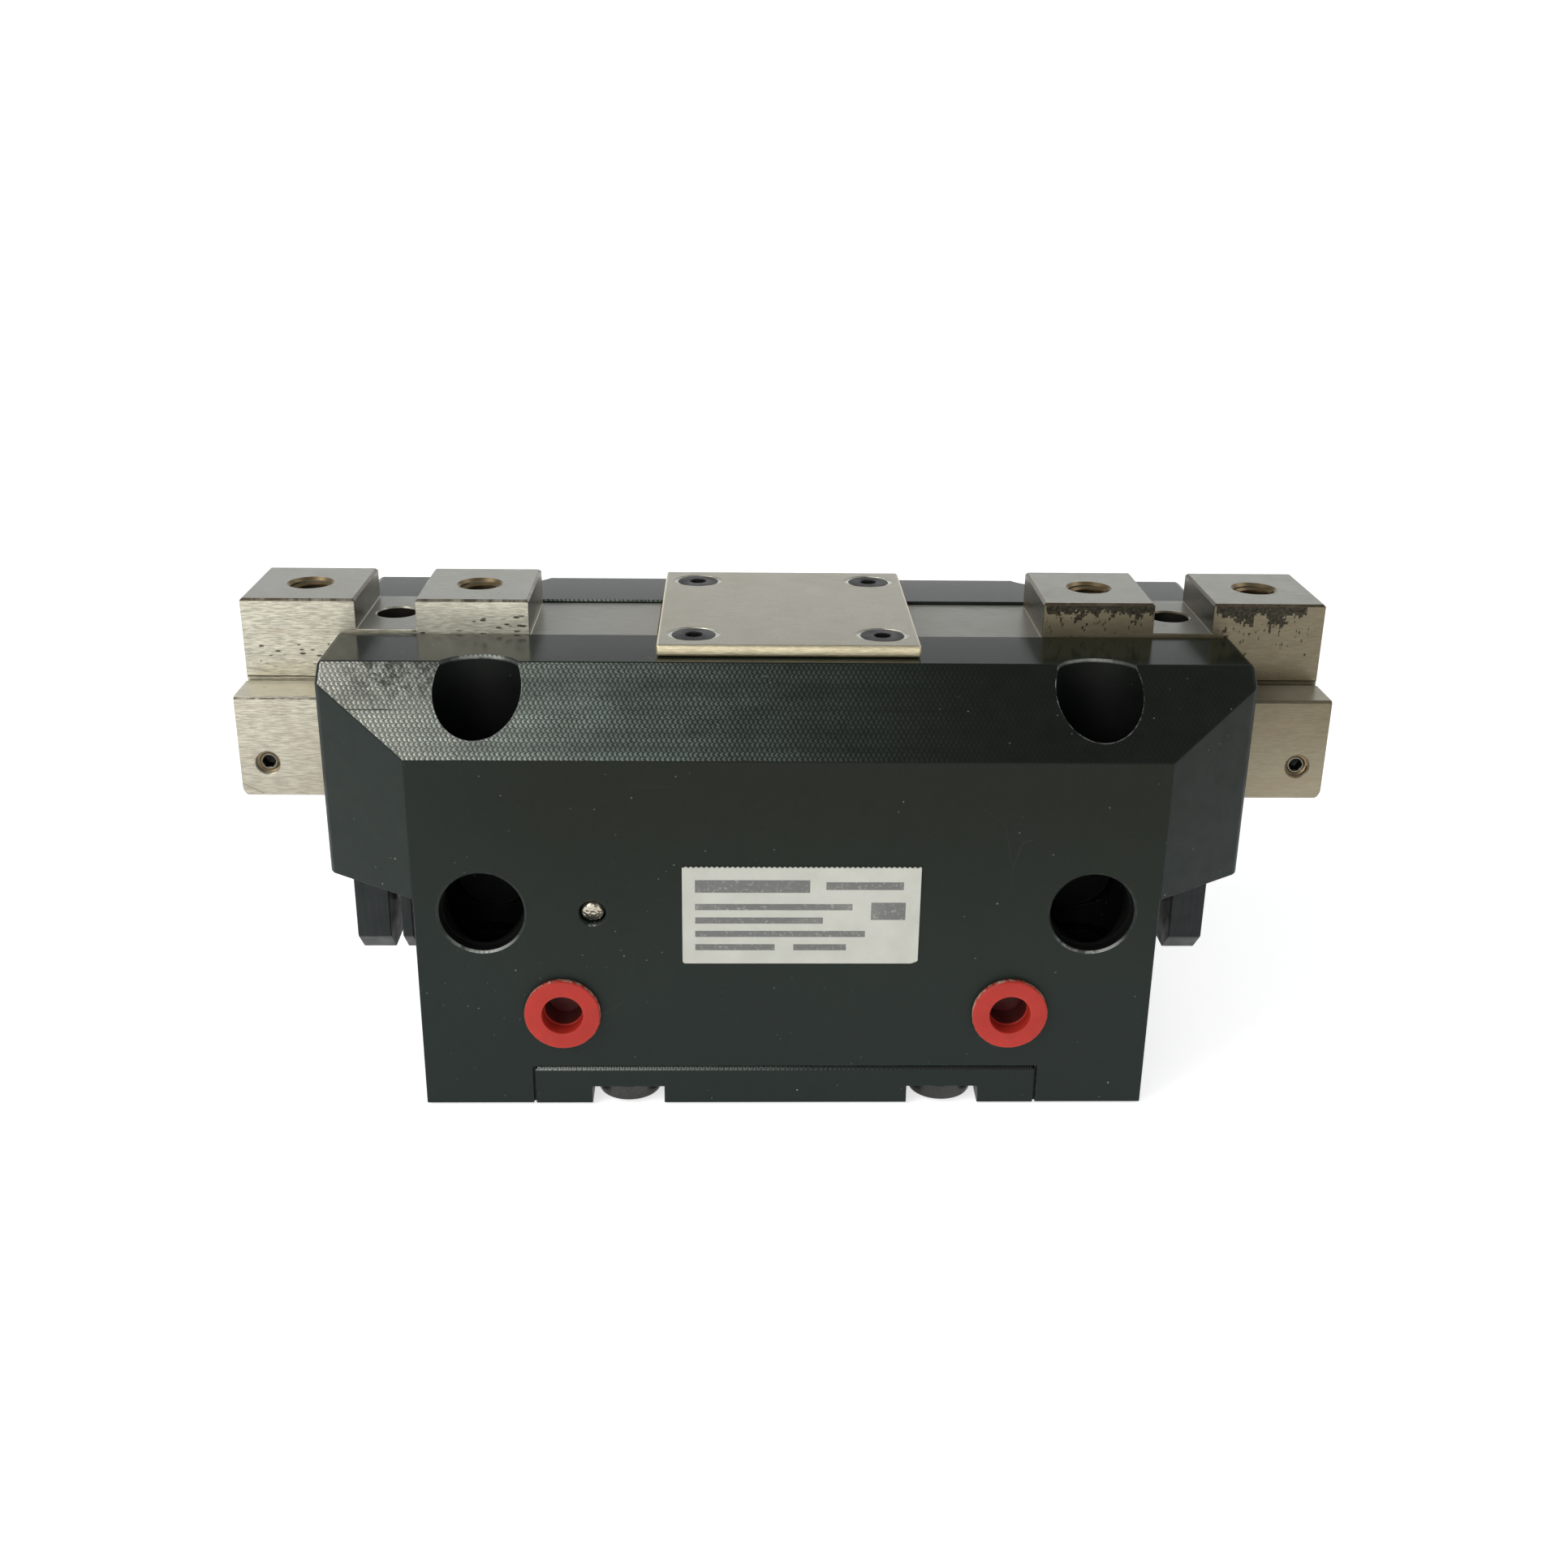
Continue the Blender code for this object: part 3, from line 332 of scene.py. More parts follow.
def make_ground(name, front, top, oxide=(), dash_zone=None, bores=(), lower=None, rim=None, step=None, score=False, grainy=1.0, worn_edge=0.6):
    """Ground and plated steel: short horizontal grain in front, satin tops, stains and specks."""
    m = Mat(name, 0.34, 0.62, Specular_IOR_Level=0.5)
    x, y, z = m.xyz()
    nx, ny, nz = m.normal()
    grain = m.noise(1.0, 3, 0.6, vector=m.scaled(460, 5900, 5900))
    long = m.noise(1.0, 3, 0.6, vector=m.scaled(60, 1500, 1500))
    satin = m.noise(1.0, 3, 0.6, vector=m.scaled(2600, 900, 900))
    up = m.mapped(nz, 0.85, 0.95, 0.0, 1.0)
    g = m.math("ADD", m.math("MULTIPLY", m.mapped(grain, 0.41, 0.59, 0, 1), 0.84), m.math("MULTIPLY", m.mapped(long, 0.3, 0.7, 0, 1), 0.16))
    side = m.mix(g, tuple(c * (0.96 - 0.26 * grainy) for c in front), tuple(min(1, c * (0.96 + 0.26 * grainy)) for c in front))
    hair = m.math("MULTIPLY", m.mapped(m.noise(1.0, 2, 0.5, vector=m.scaled(340, 5600, 5600, (0.4, 0.7, 0.2))), 0.33, 0.41, 1.0, 0.0), 0.42 * grainy)
    side = m.mix(hair, side, tuple(c * 0.42 for c in front))
    side = m.mix(m.mapped(m.math("ABSOLUTE", x), 0.070, 0.080, 1.0, 0.0), side, m.mix(g, tuple(c * (1.24 - 0.27 * grainy) for c in front), tuple(min(1, c * (1.24 + 0.25 * grainy)) for c in front)))
    if lower is not None:
        low = m.mix(g, tuple(c * (0.98 - 0.18 * grainy) for c in lower), tuple(min(1, c * (0.98 + 0.18 * grainy)) for c in lower))
        side = m.mix(m.mapped(z, 0.058, 0.076, 1.0, 0.0), side, low)
    flat = m.mix(m.mapped(satin, 0.3, 0.7, 0, 1), tuple(c * 0.93 for c in top), tuple(c * 1.06 for c in top))
    # painted reflection: the step tops get their own brighter colour; painted shade: the floors between the pads are
    # darkened
    if step is not None:
        flat = m.mix(m.mapped(z, 0.0765, 0.0770, 1.0, 0.0), flat, m.mix(g, tuple(c * 0.9 for c in step), tuple(min(1, c * 1.1) for c in step)))
        floors = m.math("MULTIPLY", m.mapped(z, 0.0765, 0.0770, 0.0, 1.0), m.mapped(z, 0.0868, 0.0872, 1.0, 0.0))
        flat = m.mix(floors, flat, tuple(c * 0.76 for c in top))
    col = m.mix(up, side, flat)
    if rim:
        # painted shade: the faces towards the middle are painted dark above the rails
        inward_shade = m.math("MULTIPLY", m.mapped(nx, 0.6, 0.8, 0.0, 1.0) if score else m.mapped(nx, -0.8, -0.6, 1.0, 0.0), m.mapped(z, 0.0840, 0.0870, 0.0, 1.0))
        inward_shade = m.math("MULTIPLY", inward_shade, m.mapped(m.math("MULTIPLY", y, -1.0), -0.008, 0.006, 0.60, 0.95))
        col = m.mix(inward_shade, col, (0.040, 0.040, 0.030))
    cloud = m.mapped(m.noise(48, 5, 0.6, distortion=0.4), 0.45, 0.72, 0.0, 0.30)
    col = m.mix(cloud, col, tuple(c * f for c, f in zip(front, (0.66, 0.60, 0.50))))
    stain = m.mapped(m.noise(1.0, 4, 0.6, vector=m.scaled(35, 260, 260)), 0.60, 0.70, 0.0, 0.28)
    col = m.mix(m.math("MULTIPLY", stain, m.math("SUBTRACT", 1.0, up)), col, (0.26, 0.19, 0.13))
    rough = m.mapped(m.noise(1.0, 4, 0.6, vector=m.scaled(240, 1800, 1800)), 0.3, 0.7, 0.27, 0.42)
    for x0, x1, z0, z1 in oxide:
        # dark oxide: a band under the top edge that breaks up downwards into blocky dashes
        cell = m.node("ShaderNodeCombineXYZ")
        m.put(cell.inputs[0], m.math("MULTIPLY", m.math("FLOOR", m.math("MULTIPLY", x, 1 / 0.00040)), 0.40))
        m.put(cell.inputs[2], m.math("MULTIPLY", m.math("FLOOR", m.math("MULTIPLY", z, 1 / 0.00060)), 0.42))
        blocky = m.noise(0.62, 3, 0.75, vector=cell.outputs[0])
        broad = m.noise(1.0, 3, 0.6, vector=m.scaled(300, 300, 170))
        depth = m.mapped(z, z0 * MM, z1 * MM, 0.0, 1.0)
        keep_x = m.math("MULTIPLY", m.mapped(x, x0 * MM, (x0 + 0.8) * MM, 0, 1), m.mapped(x, (x1 - 7.0) * MM, x1 * MM, 1, 0))
        fall = m.math("ADD", m.math("MULTIPLY", depth, 0.18), m.mapped(depth, 0.66, 0.92, 0.0, 0.155, True))
        lim = m.math("SUBTRACT", 0.655, m.math("MULTIPLY", fall, keep_x))
        mask = m.math("GREATER_THAN", m.math("ADD", m.math("MULTIPLY", broad, 0.35), m.math("MULTIPLY", blocky, 0.65)), lim)
        mask = m.math("MULTIPLY", m.math("MULTIPLY", mask, m.math("GREATER_THAN", keep_x, 0.02)), m.mapped(ny, -0.9, -0.8, 1.0, 0.0))
        mask = m.math("MULTIPLY", mask, m.math("GREATER_THAN", depth, 0.02))
        stray = m.mapped(m.voronoi(1.0, vector=m.scaled(1500, 1, 620)), 0.20, 0.30, 1.0, 0.0)
        stray = m.math("MULTIPLY", stray, m.mapped(m.math("ADD", m.noise(330, 3, 0.7), m.math("MULTIPLY", depth, 0.16)), 0.55, 0.62, 0.0, 1.0))
        stray = m.math("MULTIPLY", m.math("MULTIPLY", stray, m.math("GREATER_THAN", keep_x, 0.10)), m.math("MULTIPLY", m.mapped(depth, 0.0, 0.12, 0.0, 1.0), m.mapped(ny, -0.9, -0.8, 1.0, 0.0)))
        mask = m.math("MAXIMUM", mask, m.math("MULTIPLY", stray, 0.85))
        col = m.mix(m.math("MULTIPLY", mask, m.mapped(m.noise(1500, 3), 0.3, 0.6, 0.68, 0.98)), col, (0.017, 0.0145, 0.0085))
        rough = m.math("ADD", rough, m.math("MULTIPLY", mask, 0.22))
    for x0, x1, z0, z1 in dash_zone or ():
        d = m.mapped(m.voronoi(1.0, vector=m.scaled(460, 1, 1250)), 0.24, 0.34, 1.0, 0.0)
        zone = m.math("MULTIPLY", m.mapped(m.math("ABSOLUTE", m.math("SUBTRACT", z, (z0 + z1) / 2 * MM)), (z1 - z0) / 2 * MM, (z1 - z0) / 2 * MM * 1.2, 1, 0), m.mapped(m.math("ABSOLUTE", m.math("SUBTRACT", x, (x0 + x1) / 2 * MM)), (x1 - x0) / 2 * MM, (x1 - x0) / 2 * MM * 1.1, 1, 0))
        d = m.math("MULTIPLY", m.math("MULTIPLY", d, zone), m.mapped(m.noise(1.0, 3, 0.6, vector=m.scaled(230, 1, 230)), 0.36, 0.43, 0.0, 1.0))
        col = m.mix(m.math("MULTIPLY", m.math("MULTIPLY", d, 0.9), m.mapped(ny, -0.9, -0.8, 1.0, 0.0)), col, (0.035, 0.028, 0.020))
    if score:
        # a fine scored line across the outer lower corner
        off = m.math("ABSOLUTE", m.math("SUBTRACT", z, m.math("SUBTRACT", 0.0580, m.math("MULTIPLY", m.math("ADD", x, 0.1061), 0.53))))
        mark = m.math("MULTIPLY", m.mapped(off, 0.00005, 0.00011, 1.0, 0.0), m.mapped(ny, -0.9, -0.8, 1.0, 0.0))
        mark = m.math("MULTIPLY", mark, m.mapped(x, -0.1014, -0.1008, 1.0, 0.0))
        col = m.mix(m.math("MULTIPLY", mark, 0.7), col, (0.12, 0.09, 0.06))
        # a ragged worn line along the front edge of the flange
        worn = m.math("MULTIPLY", m.mapped(m.math("ABSOLUTE", m.math("SUBTRACT", z, 0.07535)), 0.00010, 0.00024, 1.0, 0.0), m.mapped(y, -0.0215, -0.0205, 1.0, 0.0))
        worn = m.math("MULTIPLY", worn, m.mapped(m.noise(1.0, 4, 0.75, vector=m.scaled(620, 60, 900)), 0.42, 0.58, 0.10, 0.85))
        col = m.mix(worn, col, (0.115, 0.090, 0.060))
    pits = m.mapped(m.voronoi(520), 0.0, 0.06, 1.0, 0.0)
    pits = m.math("MULTIPLY", pits, m.mapped(m.noise(110, 2), 0.58, 0.64, 0.0, 1.0))
    col = m.mix(m.math("MULTIPLY", pits, 0.55), col, (0.09, 0.08, 0.07))
    edge = m.math("MULTIPLY", m.edges(0.00045), m.mapped(m.noise(190, 3), 0.38, 0.60, 0.25, 1.0))
    if score:
        clean = m.math("MULTIPLY", m.mapped(z, 0.0866, 0.0868, 1.0, 0.0), m.math("MULTIPLY", m.mapped(z, 0.0840, 0.0845, 0.0, 1.0), m.mapped(ny, -0.8, -0.5, 1.0, 0.0)))
        edge = m.math("MULTIPLY", edge, m.math("SUBTRACT", 1.0, clean))
    col = m.mix(m.math("MULTIPLY", edge, worn_edge), col, (0.14, 0.10, 0.06))
    if rim:
        # a thin brown line where the coating is worn off under the top edges
        side_on = m.mapped(nz, 0.80, 0.92, 1.0, 0.0)
        thin = m.math("MULTIPLY", m.mapped(z, (rim / MM - 0.54) * MM, (rim / MM - 0.44) * MM, 0.0, 1.0), side_on)
        thin = m.math("MULTIPLY", thin, m.mapped(m.noise(1.0, 3, 0.7, vector=m.scaled(420, 60, 60)), 0.34, 0.54, 0.45, 0.95))
        col = m.mix(thin, col, (0.090, 0.066, 0.044))
        # and painted shade: a dark line in the corner at the foot of the pads
        foot_shade = m.math("MULTIPLY", m.mapped(m.math("ABSOLUTE", m.math("SUBTRACT", z, 0.07645)), 0.00010, 0.00018, 1.0, 0.0), m.mapped(m.math("ABSOLUTE", y), 0.0123, 0.0125, 1.0, 0.0))
        col = m.mix(m.math("MULTIPLY", foot_shade, 0.85), col, (0.030, 0.020, 0.012))
    # painted shade: the insides of the holes are darkened
    deep = None
    for bx, by, top_z, r in bores:
        n = m.node("ShaderNodeVectorMath", operation="DISTANCE")
        flat_co = m.node("ShaderNodeCombineXYZ")
        m.put(flat_co.inputs[0], x)
        m.put(flat_co.inputs[1], y)
        m.put(n.inputs[0], flat_co.outputs[0])
        n.inputs[1].default_value = (bx * MM, by * MM, 0)
        inside = m.mapped(n.outputs["Value"], (r + 0.08) * MM, (r + 0.16) * MM, 1.0, 0.0)
        one = m.math("MULTIPLY", inside, m.mapped(z, (top_z - 1.2) * MM, (top_z - 0.3) * MM, 1.0, 0.0))
        deep = one if deep is None else m.math("MAXIMUM", deep, one)
    if deep is not None:
        col = m.mix(m.math("MULTIPLY", deep, 0.9), col, (0.030, 0.026, 0.018))
        rough = m.math("ADD", rough, m.math("MULTIPLY", deep, 0.2))
    m.bump(grain, 0.07, 0.00008)
    m.bump(m.noise(1500, 2), 0.03, 0.0001)
    return m.done(col, rough)


def make_turned(name, tone, rough=0.3, metal=0.95, rings=2600, stain=0.25):
    """Machined metal with fine tool marks and slight oil staining."""
    m = Mat(name, rough, metal)
    grain = m.noise(rings, 2, 0.5)
    cloud = m.noise(90, 4, 0.6)
    col = m.mix(m.mapped(grain, 0.3, 0.7, 0, 1), tuple(t * 0.82 for t in tone), tone)
    col = m.mix(m.mapped(cloud, 0.45, 0.7, 0, stain), col, tuple(t * f for t, f in zip(tone, (0.5, 0.45, 0.36))))
    col = m.mix(m.math("MULTIPLY", m.edges(0.0003), 0.3), col, tuple(min(1, t * 1.3) for t in tone))
    m.bump(grain, 0.05, 0.00006)
    return m.done(col, m.mapped(cloud, 0.3, 0.7, rough - 0.06, rough + 0.1))


def make_side_bore_shade():
    """Painted shade for deep bores: matte, nearly black."""
    m = Mat("painted_shade_side_bore", 0.85, 0.0, Specular_IOR_Level=0.12)
    return m.done(m.ramp(m.noise(300, 3, 0.6), (0.3, (0.0018, 0.0020, 0.0018)), (0.7, (0.0036, 0.0039, 0.0035))))


def make_black_steel():
    m = Mat("black_oxide_steel", 0.46, 0.35, Specular_IOR_Level=0.32)
    n = m.noise(700, 4, 0.65)
    col = m.ramp(n, (0.3, (0.007, 0.0068, 0.0062)), (0.7, (0.019, 0.0178, 0.0160)))
    rub = m.math("MULTIPLY", m.edges(0.00035), m.mapped(m.noise(500, 3), 0.42, 0.6, 0.1, 1.0))
    col = m.mix(m.math("MULTIPLY", rub, 0.55), col, (0.26, 0.24, 0.21))
    oil = m.mapped(m.noise(180, 3), 0.4, 0.7, 0.36, 0.55)
    m.bump(n, 0.08, 0.0001)
    return m.done(col, oil)


def make_dark_block():
    m = Mat("blackened_driver", 0.50, 0.25, Specular_IOR_Level=0.4)
    n = m.noise(1.0, 4, 0.6, vector=m.scaled(1500, 1500, 160))
    col = m.ramp(n, (0.3, (0.0075, 0.0112, 0.0112)), (0.7, (0.0145, 0.0195, 0.0195)))
    rub = m.math("MULTIPLY", m.edges(0.0005), m.mapped(m.noise(260, 3), 0.40, 0.62, 0.1, 0.9))
    col = m.mix(m.math("MULTIPLY", rub, 0.4), col, (0.17, 0.16, 0.14))
    nx, ny, nz = m.normal()
    # painted light: the downward faces are painted lighter
    low = m.mapped(nz, -0.75, -0.55, 1.0, 0.0)
    col = m.mix(m.math("MULTIPLY", low, 0.25), col, (0.10, 0.10, 0.09))
    m.bump(n, 0.08, 0.00012)
    return m.done(col, m.mapped(m.noise(300, 3), 0.3, 0.7, 0.42, 0.60))


def make_plastic():
    m = Mat("moulded_red_plastic", 0.46, 0.0, Specular_IOR_Level=0.25, Subsurface_Weight=0.06, Subsurface_Scale=0.0012)
    n = m.noise(900, 4, 0.6)
    col = m.ramp(m.noise(120, 4, 0.6), (0.3, (0.37, 0.022, 0.014)), (0.7, (0.455, 0.032, 0.021)))
    col = m.mix(m.math("MULTIPLY", m.edges(0.0006), 0.35), col, (0.62, 0.12, 0.08))
    dirt = m.mapped(m.noise(210, 4, 0.7), 0.56, 0.72, 0.0, 0.45)
    col = m.mix(dirt, col, (0.16, 0.03, 0.02))
    x, y, z = m.xyz()
    rim = m.math("SQRT", m.math("ADD", m.math("POWER", m.math("SUBTRACT", m.math("ABSOLUTE", x), 0.0429), 2.0), m.math("POWER", m.math("SUBTRACT", z, 0.0202), 2.0)))
    flash = m.math("MULTIPLY", m.mapped(rim, 0.00718, 0.00726, 0.0, 1.0), m.mapped(m.noise(900, 3, 0.7), 0.42, 0.58, 0.0, 0.9))
    col = m.mix(flash, col, (0.55, 0.42, 0.33))
    m.bump(n, 0.10, 0.0001)
    return m.done(col, m.mapped(n, 0.3, 0.7, 0.34, 0.52))


def make_rubber():
    m = Mat("nitrile_rubber", 0.7, 0.0, Specular_IOR_Level=0.35)
    n = m.noise(1400, 3, 0.6)
    col = m.ramp(n, (0.3, (0.009, 0.009, 0.010)), (0.7, (0.020, 0.020, 0.021)))
    m.bump(n, 0.12, 0.0001)
    return m.done(col, m.mapped(m.noise(260, 3), 0.3, 0.7, 0.58, 0.82))


def make_label():
    """White film with a plain frame and blank grey bars, nothing to read."""
    m = Mat("label_film", 0.45, 0.0, Specular_IOR_Level=0.45)
    x, y, z = m.xyz()

    def bar(x0, x1, z0, z1):
        a = m.math("MULTIPLY", m.math("GREATER_THAN", x, x0 * MM), m.math("LESS_THAN", x, x1 * MM))
        b = m.math("MULTIPLY", m.math("GREATER_THAN", z, z0 * MM), m.math("LESS_THAN", z, z1 * MM))
        return m.math("MULTIPLY", a, b)

    ink = None
    for r in LABEL_BARS:
        one = bar(*r)
        ink = one if ink is None else m.math("MAXIMUM", ink, one)
    patchy = m.mapped(m.noise(1800, 3, 0.7), 0.30, 0.44, 0.55, 1.0)
    col = m.ramp(m.noise(160, 4, 0.6), (0.3, (0.475, 0.475, 0.425)), (0.7, (0.540, 0.540, 0.485)))
    col = m.mix(m.math("MULTIPLY", ink, m.math("MULTIPLY", patchy, 0.80)), col, (0.05, 0.05, 0.055))
    smudge = m.mapped(m.noise(75, 4, 0.65), 0.56, 0.75, 0.0, 0.25)
    col = m.mix(smudge, col, (0.45, 0.44, 0.40))
    col = m.mix(m.math("MULTIPLY", m.edges(0.0004), 0.25), col, (0.35, 0.35, 0.32))
    m.bump(m.noise(420, 3), 0.06, 0.0002)
    return m.done(col, m.mapped(m.noise(300, 3), 0.3, 0.7, 0.38, 0.55))


LABEL_BARS = [
    (-17.5, 4.0, 45.6, 48.2), (7.0, 21.5, 46.2, 47.8), (-17.5, 12.0, 42.0, 43.3), (-17.5, 6.5, 39.2, 40.5),
    (-17.5, 14.5, 36.4, 37.7), (-17.5, -2.5, 33.6, 34.9), (1.0, 11.0, 33.6, 34.9), (15.5, 22.0, 40.0, 43.6),
]

BODY = make_body()
# the step colours are painted reflections on the step tops, brightest on the left jaw
JAW_L = make_ground("ground_steel_left", (0.54, 0.515, 0.420), (0.435, 0.432, 0.385), rim=0.0922, step=(0.82, 0.775, 0.635), lower=(0.425, 0.395, 0.318), score=True, grainy=1.2, worn_edge=0.35,
                    dash_zone=[(-103.0, -98.4, 78.7, 82.9), (-95.5, -89.5, 78.7, 83.2), (-72.5, -50.3, 85.15, 86.0), (-62, -50.3, 86.5, 89.0)],
                    bores=[(-61.3, 0, 92.2, 4.0), (-95.0, 0, 92.2, 4.0), (-78.2, 0, 86.2, 4.0)])
JAW_R = make_ground(
    "ground_steel_right", (0.185, 0.158, 0.100), (0.415, 0.408, 0.355), lower=(0.290, 0.255, 0.175), rim=0.0922, step=(0.46, 0.42, 0.32), grainy=0.45,
    oxide=[(50.3, 77.5, 84.4, 92.2), (83.9, 105.5, 81.5, 92.2)],
    bores=[(61.3, 0, 92.2, 4.0), (95.0, 0, 92.2, 4.0), (78.2, 0, 86.2, 4.0)],
)
COVER = make_ground("plated_cover_steel", (0.60, 0.53, 0.36), (0.50, 0.475, 0.385))
BRASSY = make_turned("tinted_thread", (0.30, 0.225, 0.125), 0.38)
BRIGHT = make_turned("bright_ground_steel", (0.62, 0.61, 0.58), 0.26)
TURNED = make_turned("turned_aluminium", (0.70, 0.70, 0.70), 0.30)
BRONZE = make_turned("sintered_bronze", (0.50, 0.30, 0.13), 0.42, rings=1800)
GEAR = make_turned("gear_steel", (0.40, 0.39, 0.37), 0.32)
MAGNET = make_turned("bonded_ferrite", (0.05, 0.05, 0.055), 0.55, 0.3)
PEENED = make_turned("peened_steel", (0.60, 0.55, 0.45), 0.26, 0.92, 900, 0.7)
NICKEL = make_turned("set_screw_steel", (0.30, 0.275, 0.215), 0.36, 0.9, 2600, 0.5)
GREY = make_turned("blued_steel", (0.060, 0.062, 0.060), 0.30, 0.9, 1800, 0.5)
FLARE = make_turned("bare_countersink", (0.86, 0.84, 0.76), 0.24, 0.85, 1500, 0.6)
SCREW = make_black_steel()
SOCKET_SHADE = make_turned("painted_shade_socket", (0.0045, 0.0042, 0.0036), 0.52, 0.2, 1500, 0.5)
BLOCK = make_dark_block()
RED = make_plastic()
RED_BORE_SHADE = make_turned("painted_shade_red_bore", (0.115, 0.016, 0.012), 0.32, 0.0, 1500, 0.6)
SIDE_BORE_SHADE = make_side_bore_shade()
JAW_BORE_SHADE = make_turned("painted_shade_jaw_bore", (0.026, 0.023, 0.017), 0.50, 0.4, 1500, 0.5)
RUBBER = make_rubber()
FILM = make_label()

# ------------------------------------------------------------------ mesh helpers
work = bpy.data.collections.new("work")
scene.collection.children.link(work)


def link(name, mesh, material=None):
    o = bpy.data.objects.new(name, mesh)
    scene.collection.objects.link(o)
    if material:
        mesh.materials.clear()
        mesh.materials.append(material)
    return o


def from_bm(name, bm, material=None):
    bmesh.ops.recalc_face_normals(bm, faces=bm.faces)
    mesh = bpy.data.meshes.new(name)
    bm.to_mesh(mesh)
    bm.free()
    return link(name, mesh, material)


def bake(o):
    """Applies the modifiers of o."""
    bpy.context.view_layer.update()
    mesh = bpy.data.meshes.new_from_object(o.evaluated_get(bpy.context.evaluated_depsgraph_get()))
    old = o.data
    o.modifiers.clear()
    o.data = mesh
    bpy.data.meshes.remove(old)
    return o


def box(name, x, y, z, material=None):
    bm = bmesh.new()
    bmesh.ops.create_cube(bm, size=1.0)
    bmesh.ops.scale(bm, vec=Vector((x[1] - x[0], y[1] - y[0], z[1] - z[0])) * MM, verts=bm.verts)
    bmesh.ops.translate(bm, vec=Vector((x[1] + x[0], y[1] + y[0], z[1] + z[0])) * (MM / 2), verts=bm.verts)
    return from_bm(name, bm, material)


def prism(name, points, lo, hi, plane, material=None):
    """A flat outline in mm, extruded from lo to hi along the plane's normal."""
    bm = bmesh.new()
    place = {
        "XY": lambda u, v, w: (u, v, w),
        "YZ": lambda u, v, w: (w, u, v),
        "XZ": lambda u, v, w: (u, w, v),
    }[plane]
    vs = [bm.verts.new(Vector(place(u, v, lo)) * MM) for u, v in points]
    f = bm.faces.new(vs)
    out = bmesh.ops.extrude_face_region(bm, geom=[f])
    moved = [g for g in out["geom"] if isinstance(g, bmesh.types.BMVert)]
    bmesh.ops.translate(bm, vec=Vector(place(0, 0, hi - lo)) * MM, verts=moved)
    return from_bm(name, bm, material)


def lathe(name, profile, place, axis, material=None, seg=72):
    """Revolves (radius, height) points, in mm, about axis through place."""
    bm = bmesh.new()
    closed = profile[0] == profile[-1]
    pts = profile[:-1] if closed else profile
    rings = []
    for r, h in pts:
        if r < 1e-6:
            rings.append([bm.verts.new((0, 0, h * MM))])
        else:
            rings.append([
                bm.verts.new((r * MM * math.cos(2 * math.pi * k / seg), r * MM * math.sin(2 * math.pi * k / seg), h * MM))
                for k in range(seg)
            ])
    pairs = list(zip(rings, rings[1:])) + ([(rings[-1], rings[0])] if closed else [])
    for a, b in pairs:
        for k in range(seg):
            j = (k + 1) % seg
            if len(a) == 1 and len(b) == 1:
                break
            if len(a) == 1:
                bm.faces.new((a[0], b[k], b[j]))
            elif len(b) == 1:
                bm.faces.new((a[k], b[0], a[j]))
            else:
                bm.faces.new((a[k], b[k], b[j], a[j]))
    turn = Vector((0, 0, 1)).rotation_difference(Vector(axis)).to_matrix().to_4x4()
    bmesh.ops.transform(bm, matrix=Matrix.Translation(Vector(place) * MM) @ turn, verts=bm.verts)
    return from_bm(name, bm, material)


def boolean(target, tools, operation="DIFFERENCE"):
    """All the tools in one go, so nothing is rounded between two cuts."""
    group = bpy.data.collections.new("tools")
    scene.collection.children.link(group)
    for t in tools:
        scene.collection.objects.unlink(t)
        group.objects.link(t)
    m = target.modifiers.new("cut", "BOOLEAN")
    m.operation = operation
    m.operand_type = "COLLECTION"
    m.collection = group
    m.solver = "EXACT"
    bake(target)
    for t in tools:
        bpy.data.objects.remove(t)
    bpy.data.collections.remove(group)
    return target


def bevel(o, width, segments=2, angle=30):
    m = o.modifiers.new("edge", "BEVEL")
    m.width = width * MM
    m.segments = segments
    m.limit_method = "ANGLE"
    m.angle_limit = math.radians(angle)
    m.miter_outer = "MITER_ARC"
    return bake(o)


def smooth(o, angle=32, weighted=True):
    bm = bmesh.new()
    bm.from_mesh(o.data)
    bmesh.ops.remove_doubles(bm, verts=bm.verts, dist=2e-7)
    bm.to_mesh(o.data)
    bm.free()
    for p in o.data.polygons:
        p.use_smooth = True
    o.data.set_sharp_from_angle(angle=math.radians(angle))
    if weighted:
        w = o.modifiers.new("normals", "WEIGHTED_NORMAL")
        w.keep_sharp = True
        w.weight = 80
    return o


def paint(o, material, test):
    """Gives the faces whose centre (mm) and normal pass test a second material."""
    o.data.materials.append(material)
    k = len(o.data.materials) - 1
    for p in o.data.polygons:
        if test(p.center / MM, p.normal):
            p.material_index = k
    return o


def round_edges(o, width, segments, test):
    """Rounds only the edges whose two ends (mm) both pass test."""
    bm = bmesh.new()
    bm.from_mesh(o.data)
    layer = bm.edges.layers.float.get("bevel_weight_edge") or bm.edges.layers.float.new("bevel_weight_edge")
    for e in bm.edges:
        e[layer] = 1.0 if len(e.link_faces) == 2 and e.calc_face_angle() > 0.35 and all(test(v.co / MM) for v in e.verts) else 0.0
    bm.to_mesh(o.data)
    bm.free()
    m = o.modifiers.new("edge", "BEVEL")
    m.width, m.segments, m.limit_method = width * MM, segments, "WEIGHT"
    return bake(o)


def keep(o, body, *nodes, slot=None):
    smooth(o)
    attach(o, body)
    if nodes:
        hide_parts(*nodes)
    return o


